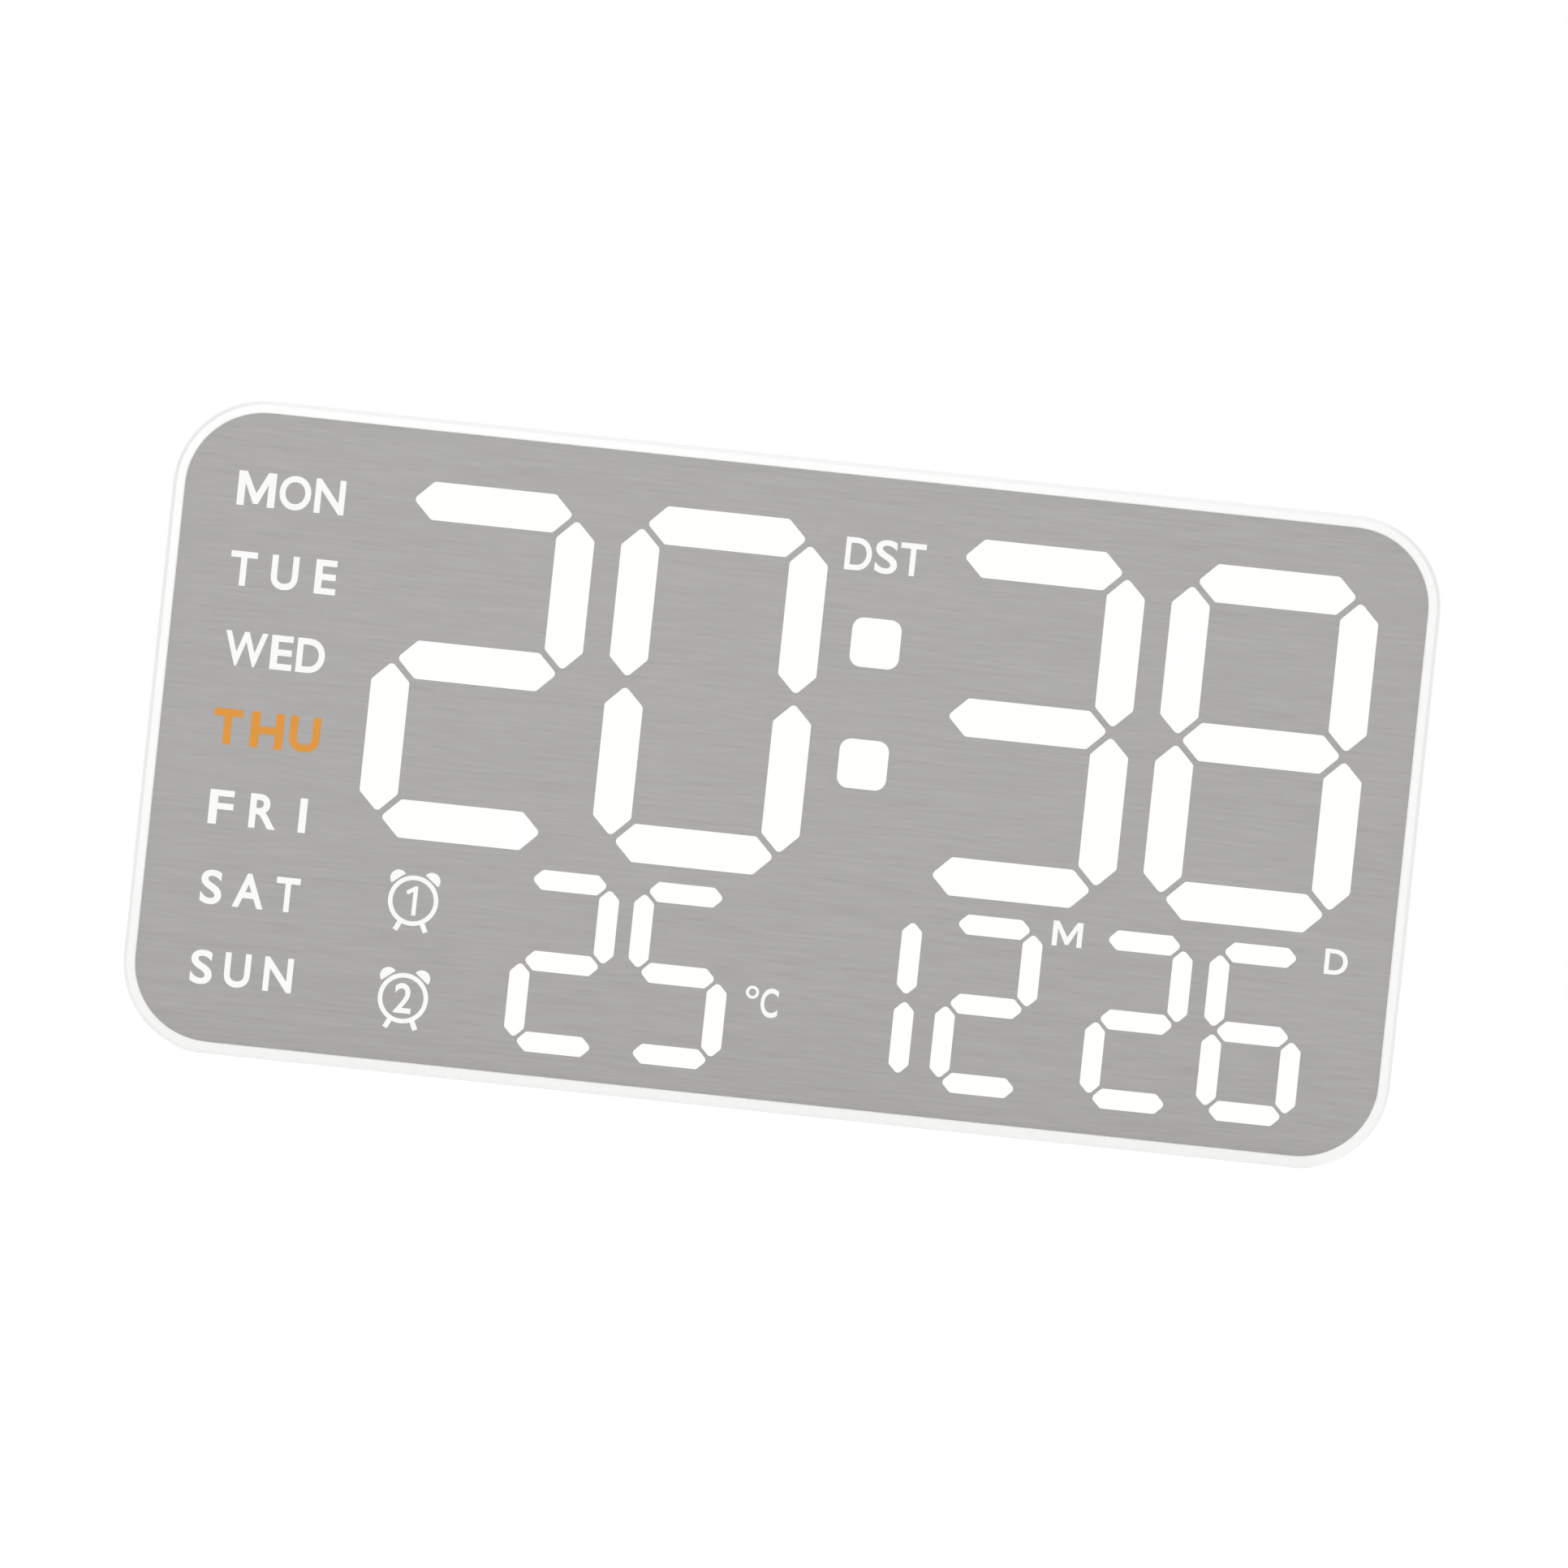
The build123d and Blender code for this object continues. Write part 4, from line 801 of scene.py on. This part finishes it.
# %% Alarm signs
ALARM_X, ALARM_ROWS = -62.6, (-27.2, -44.5)
ALARM_RING, ALARM_LINE = 4.45, 0.8
BELL_SIDE, BELL_UP, BELL_RADIUS, BELL_LEAN, BELL_STEPS = 2.95, 3.75, 1.5, 38.0, 16
FOOT_TOP, FOOT_TIP, FOOT_LINE = (1.95, -3.85), (2.7, -5.4), 0.9
ONE = [(-0.1, -2.6), (0.65, -2.6), (0.65, 2.6), (0.15, 2.6), (-1.4, 1.6), (-1.05, 1.0), (-0.1, 1.6)]
TWO_WIDE, TWO_HIGH = 3.1, 5.3


def alarm_sign(z, number):
    """Ring, bells and feet of an alarm sign, with its number."""
    meshes = [inked(ring(ALARM_X, z, ALARM_RING, ALARM_LINE)), number]
    for way in (-1, 1):
        lean = 90 - way * BELL_LEAN
        bell = arc(ALARM_X + way * BELL_SIDE, z + BELL_UP, BELL_RADIUS, lean - 90, lean + 90, BELL_STEPS)
        meshes.append(inked([bell]))
        (x0, z0), (x1, z1) = FOOT_TOP, FOOT_TIP
        meshes.append(inked([stroke(ALARM_X + way * x0, z + z0, ALARM_X + way * x1, z + z1, FOOT_LINE)]))
    return meshes


first, second = ALARM_ROWS
one = inked([[(ALARM_X + x, first + z) for x, z in ONE]])
two_box = (ALARM_X - TWO_WIDE / 2, ALARM_X + TWO_WIDE / 2, second - TWO_HIGH / 2, second + TWO_HIGH / 2)
signs = alarm_sign(first, one) + alarm_sign(second, letter("2", *two_box, LIGHT))
alarm_signs = printed("alarm_signs", signs, glowing_white_ink, "case")
print("alarm signs", len(alarm_signs.data.vertices), "vertices")

# %% [markdown]
# ## Button caps
# Four caps stand in a strip on the back. A moulded cap has round corners and a soft edge all round its top.
# A box with a Bevel modifier would come close, but its flange and stem would need boxes of their own. So
# the cap is a stack of rounded rectangles, from the stem inside the case to the rounded edge outside, and
# each level is one line of sizes. Every cap rides on its own body and presses with it.

# %% A stack of rounded rectangles
CAP_CORNER_STEPS = 6


def rounded(wide, high, corner, steps):
    """Points of a rounded rectangle round the origin."""
    points = []
    for sx, sy, start in ((1, 1, 0), (-1, 1, 90), (-1, -1, 180), (1, -1, 270)):
        points += arc(sx * (wide / 2 - corner), sy * (high / 2 - corner), corner, start, start + 90, steps)
    return points


def stacked(name, levels, x, z, material):
    """Closed solid through rounded rectangles, each a width, a height, a corner and a depth."""
    shape = bmesh.new()
    rings = []
    for wide, high, corner, depth in levels:
        outline = rounded(wide, high, corner, CAP_CORNER_STEPS)
        rings.append([shape.verts.new(((x + px) * MM, -depth * MM, (z + pz) * MM)) for px, pz in outline])
    for low, high in zip(rings, rings[1:]):
        for k in range(len(low)):
            after = (k + 1) % len(low)
            shape.faces.new((low[k], low[after], high[after], high[k]))
    shape.faces.new(rings[0])
    shape.faces.new(rings[-1])
    bmesh.ops.recalc_face_normals(shape, faces=shape.faces)
    mesh = bpy.data.meshes.new(name)
    shape.to_mesh(mesh)
    shape.free()
    mesh.materials.append(material)
    return mesh


print("points in a level", len(rounded(2, 2, 0.5, CAP_CORNER_STEPS)))

# %% Caps in place of their solids
BUTTONS = ("set", "alarm", "up", "down")
CAP_WIDE, CAP_HIGH, CAP_FLANGE = 11.0, 6.0, 1.2
CAP_CORNER, CAP_EDGE, CAP_EDGE_STEPS = 1.5, 0.55, 4
# Width of the stem, and its corner as a share of that, which makes it all but round
STEM, STEM_ROUND = 3.0, 0.49
FLANGE_LOW, FLANGE_HIGH, STEM_TIP = 3.55, 4.55, 5.05


def cap_levels(top):
    """Levels of a cap from the tip of its stem to its rounded top."""
    stem = (STEM, STEM, STEM * STEM_ROUND)
    flange = (CAP_WIDE + 2 * CAP_FLANGE, CAP_HIGH + 2 * CAP_FLANGE, CAP_CORNER)
    levels = [(*stem, STEM_TIP), (*stem, FLANGE_HIGH), (*flange, FLANGE_HIGH), (*flange, FLANGE_LOW)]
    levels.append((CAP_WIDE, CAP_HIGH, CAP_CORNER, FLANGE_LOW))
    for k in range(CAP_EDGE_STEPS + 1):
        angle = QUARTER_TURN * k / CAP_EDGE_STEPS
        inset = CAP_EDGE * (1 - math.cos(angle))
        depth = top + CAP_EDGE * (1 - math.sin(angle))
        levels.append((CAP_WIDE - 2 * inset, CAP_HIGH - 2 * inset, CAP_CORNER - inset, depth))
    return levels


caps = {}
for name in BUTTONS:
    low, high = (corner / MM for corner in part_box(name + "_button"))
    middle_x, middle_z = (low.x + high.x) / 2, (low.z + high.z) / 2
    mesh = stacked(name + "_cap", cap_levels(-high.y), middle_x, middle_z, grey_abs)
    cap = piece(name + "_cap", mesh, name + "_button")
    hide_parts(name + "_button")
    caps[name] = (middle_x, middle_z, -high.y)
print("caps at", {name: round(spot[0], 1) for name, spot in caps.items()})

# %% [markdown]
# ## Signs on the buttons
# Plain printed signs tell the buttons apart: a ring for setting, a bell for the alarm, and an arrow up and
# down. They are ink like the words on the face, so the same outlines serve, turned round to be read from
# behind: the back looks along +Y.

# %% Button signs
BACK = Matrix.Rotation(math.radians(180), 4, "Z") @ FRONT
SIGN_INK = 0.05
SET_RADIUS, SET_LINE = 1.6, 0.55
DOME_RADIUS, DOME_UP, LIP_SIDE, LIP_TOP, LIP_FOOT = 1.15, 0.35, 1.75, -0.75, -1.35
ARROW_SIDE, ARROW_BASE, ARROW_TIP = 1.75, 1.2, 1.5
# Dark pad ink: a thin satin print
dark_ink = moulded("dark grey pad ink", "#2C2D2F", "#343537", 1.5, 0.5, 0.4, 0.002)


def bell_outline(x, y):
    """Bell seen from the side: a dome on a wider lip."""
    dome = arc(x, y + DOME_UP, DOME_RADIUS, 0, 180, BELL_STEPS)
    lip = [(-DOME_RADIUS, LIP_TOP), (-LIP_SIDE, LIP_FOOT), (LIP_SIDE, LIP_FOOT), (DOME_RADIUS, LIP_TOP)]
    return dome + [(x + dx, y + dy) for dx, dy in lip]


def arrow_outline(x, y, way):
    """Triangle that points up or down."""
    base = y - way * ARROW_BASE
    return [(x - ARROW_SIDE, base), (x + ARROW_SIDE, base), (x, y + way * ARROW_TIP)]


for name, (x, z, top) in caps.items():
    shapes = {
        "set": ring(-x, z, SET_RADIUS, SET_LINE),
        "alarm": [bell_outline(-x, z)],
        "up": [arrow_outline(-x, z, 1)],
        "down": [arrow_outline(-x, z, -1)],
    }
    sign = inked(shapes[name], BACK, -top, SIGN_INK)
    printed(name + "_sign", [sign], dark_ink, name + "_button")
print("button signs", len(caps))

# %% [markdown]
# ## Signs on the door and in the bay
# A printed arrow on the battery door shows which way it slides, and printed signs in the bay show how each
# cell lies: plus at the plate, minus at the spring. The three cells lie head to tail, so the signs change
# sides. All are outlines again, because a cross, a bar and a triangle need no more.

# %% Door and bay signs
DOOR_Z, DOOR_FACE = -19.0, -0.15
SLIDE_X, SLIDE_LONG, SLIDE_HALF = 86.0, 4.0, 3.0
BAY_FLOOR, BAY_ENDS, CELL_PITCH = -13.5, (66.0, 99.5), 11.0
SIGN_SIZE, SIGN_LINE = 3.0, 0.8

slide = [(SLIDE_X, DOOR_Z - SLIDE_HALF), (SLIDE_X + SLIDE_LONG, DOOR_Z), (SLIDE_X, DOOR_Z + SLIDE_HALF)]
printed("door_sign", [inked([slide], BACK, DOOR_FACE, SIGN_INK)], dark_ink, "battery_door")

half, line = SIGN_SIZE / 2, SIGN_LINE / 2
cross = [(half, line), (line, line), (line, half)]
cross += [(-x, y) for x, y in reversed(cross)]
cross += [(-x, -y) for x, y in cross]
cell_signs = []
for row in (-1, 0, 1):
    z = DOOR_Z + row * CELL_PITCH
    plus, minus = BAY_ENDS if row else reversed(BAY_ENDS)
    plus_sign = [(plus + x, z + y) for x, y in cross]
    minus_sign = stroke(minus - half, z, minus + half, z, SIGN_LINE)
    cell_signs += [inked([sign], BACK, BAY_FLOOR, SIGN_INK) for sign in (plus_sign, minus_sign)]
printed("bay_signs", cell_signs, dark_ink, "case")
print("cell signs", len(cell_signs))

# %% [markdown]
# ## Case screws
# Four pan head screws with a cross recess sit deep in their holes in the back. They could be modelled once
# and copied. They are alike, so Geometry Nodes make one from its sizes, a domed head on a shank with two
# slots cut across it, and put it on four points. The exact boolean solver keeps the mesh closed where faces
# touch.

# %% The body of a screw
SCREW_SIZES = {
    "Head radius": 2.2,
    "Head height": 1.6,
    "Shank radius": 1.3,
    "Length": 10.0,
    "Slot width": 0.6,
    "Slot length": 2.6,
    "Slot depth": 0.9,
}
SCREW_SIDES = 32
DOME_TOP = 0.72


def lifted(tree, shape, height):
    """A shape moved up by a height."""
    up = add(tree, "ShaderNodeCombineXYZ", {"Z": height})
    return add(tree, "GeometryNodeTransform", {0: shape, "Translation": up})


def screw_body(tree, given):
    """Head and shank in one: a flat rim, a cone as its dome, and the shank below."""
    half = add(tree, "ShaderNodeMath", {0: given["Head height"], 1: 0.5}, operation="MULTIPLY")
    quarter = add(tree, "ShaderNodeMath", {0: half, 1: 0.5}, operation="MULTIPLY")
    down = add(tree, "ShaderNodeMath", {0: given["Length"], 1: -0.5}, operation="MULTIPLY")
    top = add(tree, "ShaderNodeMath", {0: given["Head radius"], 1: DOME_TOP}, operation="MULTIPLY")
    rim = add(
        tree,
        "GeometryNodeMeshCylinder",
        {"Vertices": SCREW_SIDES, "Radius": given["Head radius"], "Depth": half},
    )
    dome = add(
        tree,
        "GeometryNodeMeshCone",
        {"Vertices": SCREW_SIDES, "Radius Top": top, "Radius Bottom": given["Head radius"], "Depth": half},
    )
    shank = add(
        tree,
        "GeometryNodeMeshCylinder",
        {"Vertices": SCREW_SIDES, "Radius": given["Shank radius"], "Depth": given["Length"]},
    )
    parts = [lifted(tree, rim, quarter), lifted(tree, dome, half), lifted(tree, shank, down)]
    return add(tree, "GeometryNodeMeshBoolean", {1: parts}, operation="UNION", solver="EXACT")


print("screw", SCREW_SIZES["Length"], "mm long under its head")

# %% Four screws in place of their solids
def screw_tree():
    """Screw with a cross recess, on every point, pointing along Y."""
    tree, given, end = new_tree("case screw", SCREW_SIZES, points=True)
    deep = add(tree, "ShaderNodeMath", {0: given["Slot depth"], 1: 2.0}, operation="MULTIPLY")
    slots = []
    for along, across in (("Slot length", "Slot width"), ("Slot width", "Slot length")):
        size = add(tree, "ShaderNodeCombineXYZ", {"X": given[along], "Y": given[across], "Z": deep})
        block = add(tree, "GeometryNodeMeshCube", {"Size": size})
        slots.append(lifted(tree, block, given["Head height"]))
    cut = add(
        tree,
        "GeometryNodeMeshBoolean",
        {0: screw_body(tree, given), 1: slots},
        operation="DIFFERENCE",
        solver="EXACT",
    )
    placed = add(
        tree,
        "GeometryNodeInstanceOnPoints",
        {"Points": given["Points"], "Instance": cut, "Rotation": (-QUARTER_TURN, 0, 0)},
    )
    real = add(tree, "GeometryNodeRealizeInstances", {0: placed})
    small = add(tree, "GeometryNodeTransform", {0: real, "Scale": (MM, MM, MM)})
    feed(tree, end, {0: add(tree, "GeometryNodeSetMaterial", {0: small, "Material": zinc_steel})})
    return tree


screw_low, screw_high = (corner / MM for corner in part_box("case_screws"))
seat = screw_high.y - SCREW_SIZES["Head height"]
radius = SCREW_SIZES["Head radius"]
columns = (screw_low.x + radius, screw_high.x - radius)
rows = (screw_low.z + radius, screw_high.z - radius)
screw_points = bpy.data.meshes.new("screw points")
screw_points.from_pydata([(x, seat, z) for x in columns for z in rows], [], [])
screw_mesh = grown("cross_screws", screw_tree(), screw_points, SCREW_SIZES)
screws = piece("cross_screws", screw_mesh, "case")
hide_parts("case_screws")
print("screws", len(screws.data.vertices), "vertices")

# %% [markdown]
# ## Camera
# The camera looks straight at the face from far away with a long lens, because the real picture shows no
# perspective, and is rolled by a few degrees so that the clock hangs a little askew in the frame. A camera
# without perspective would match the front as well, but would make the other sides look like drawings.

# %% Camera
ROLL = math.radians(6.0)
FRAME_WIDTH = 276.9
OFFSET_RIGHT, OFFSET_UP = 0.39, 0.11
LENS, SENSOR = 150.0, 36.0

scene = bpy.context.scene
right = Vector((math.cos(ROLL), 0, math.sin(ROLL)))
up = Vector((-math.sin(ROLL), 0, math.cos(ROLL)))
away = Vector((0, -1, 0))
lens = bpy.data.cameras.new("camera")
lens.lens = LENS
lens.sensor_width = SENSOR
camera = bpy.data.objects.new("camera", lens)
scene.collection.objects.link(camera)
target = right * OFFSET_RIGHT + up * OFFSET_UP + away * FACE_DEPTH
stand = target + away * FRAME_WIDTH * LENS / SENSOR
turned = Matrix((right, up, away)).transposed().to_4x4()
camera.matrix_world = Matrix.Translation(stand * MM) @ turned
scene.camera = camera
print("camera", round(stand.length), "mm from the middle of the clock")

# %% [markdown]
# ## Light and floor
# The light is soft and even: a pale world, a large lamp in front, one above, and a smaller one behind that
# brings out the grain of the back. The background is white because the world and the floor show themselves
# brighter to the camera, to reflections and to glass than they shine on the clock. Turning up the lamps
# instead would wash out the white case.

# %% White room
# Strength as a light, and as seen
WORLD_LIGHT, WORLD_SEEN = 0.57, 1.0
scene.view_settings.view_transform = "Standard"


def split_strength(tree, light, seen):
    """Strength that differs between light on things and rays of the camera, of reflections and of glass."""
    path = add(tree, "ShaderNodeLightPath").outputs
    gloss = add(
        tree, "ShaderNodeMath", {0: path["Is Camera Ray"], 1: path["Is Glossy Ray"]}, operation="MAXIMUM"
    )
    direct = add(tree, "ShaderNodeMath", {0: gloss, 1: path["Is Transmission Ray"]}, operation="MAXIMUM")
    return add(tree, "ShaderNodeMapRange", {"Value": direct, "To Min": light, "To Max": seen})


world = bpy.data.worlds.new("white room")
world.use_nodes = True
scene.world = world
room = world.node_tree
level = split_strength(room, WORLD_LIGHT, WORLD_SEEN)
feed(room, room.nodes["Background"], {"Color": linear("#FFFFFF"), "Strength": level})
print("world lights at", WORLD_LIGHT)

# %% Floor
FLOOR_LIGHT, FLOOR_SEEN = 0.2, 0.5
FLOOR_WIDE = 3.0

# White floor paint: pale and matt, so that a soft shadow still shows on it
floor_paint = bpy.data.materials.new("white floor")
floor_paint.use_nodes = True
tree = floor_paint.node_tree
paint = {
    "Base Color": linear("#F4F4F4"),
    "Roughness": 0.9,
    "Emission Color": linear("#FFFFFF"),
    "Emission Strength": split_strength(tree, FLOOR_LIGHT, FLOOR_SEEN),
}
feed(tree, tree.nodes["Principled BSDF"], paint)

shape = bmesh.new()
bmesh.ops.create_grid(shape, x_segments=1, y_segments=1, size=FLOOR_WIDE / 2)
mesh = bpy.data.meshes.new("floor")
shape.to_mesh(mesh)
shape.free()
mesh.transform(Matrix.Translation((0, 0, CAD_BOX[0].z)))
mesh.materials.append(floor_paint)
floor = bpy.data.objects.new("floor", mesh)
scene.collection.objects.link(floor)
print("floor at", round(CAD_BOX[0].z / MM, 1), "mm")

# %% Lamps
# Name, place in metres, size in metres, power in watts
LAMPS = [
    ("front lamp", (-0.2, -1.6, 0.15), 0.9, 7.2),
    ("rear lamp", (0.8, 1.0, 0.35), 0.5, 4.8),
    ("top lamp", (0.1, -0.1, 1.3), 1.2, 4.0),
]
for name, place, size, power in LAMPS:
    light = bpy.data.lights.new(name, "AREA")
    light.shape = "DISK"
    light.size = size
    light.energy = power
    lamp = bpy.data.objects.new(name, light)
    scene.collection.objects.link(lamp)
    lamp.location = place
    lamp.rotation_euler = (-Vector(place)).to_track_quat("-Z", "Y").to_euler()
print("lamps", [row[0] for row in LAMPS])
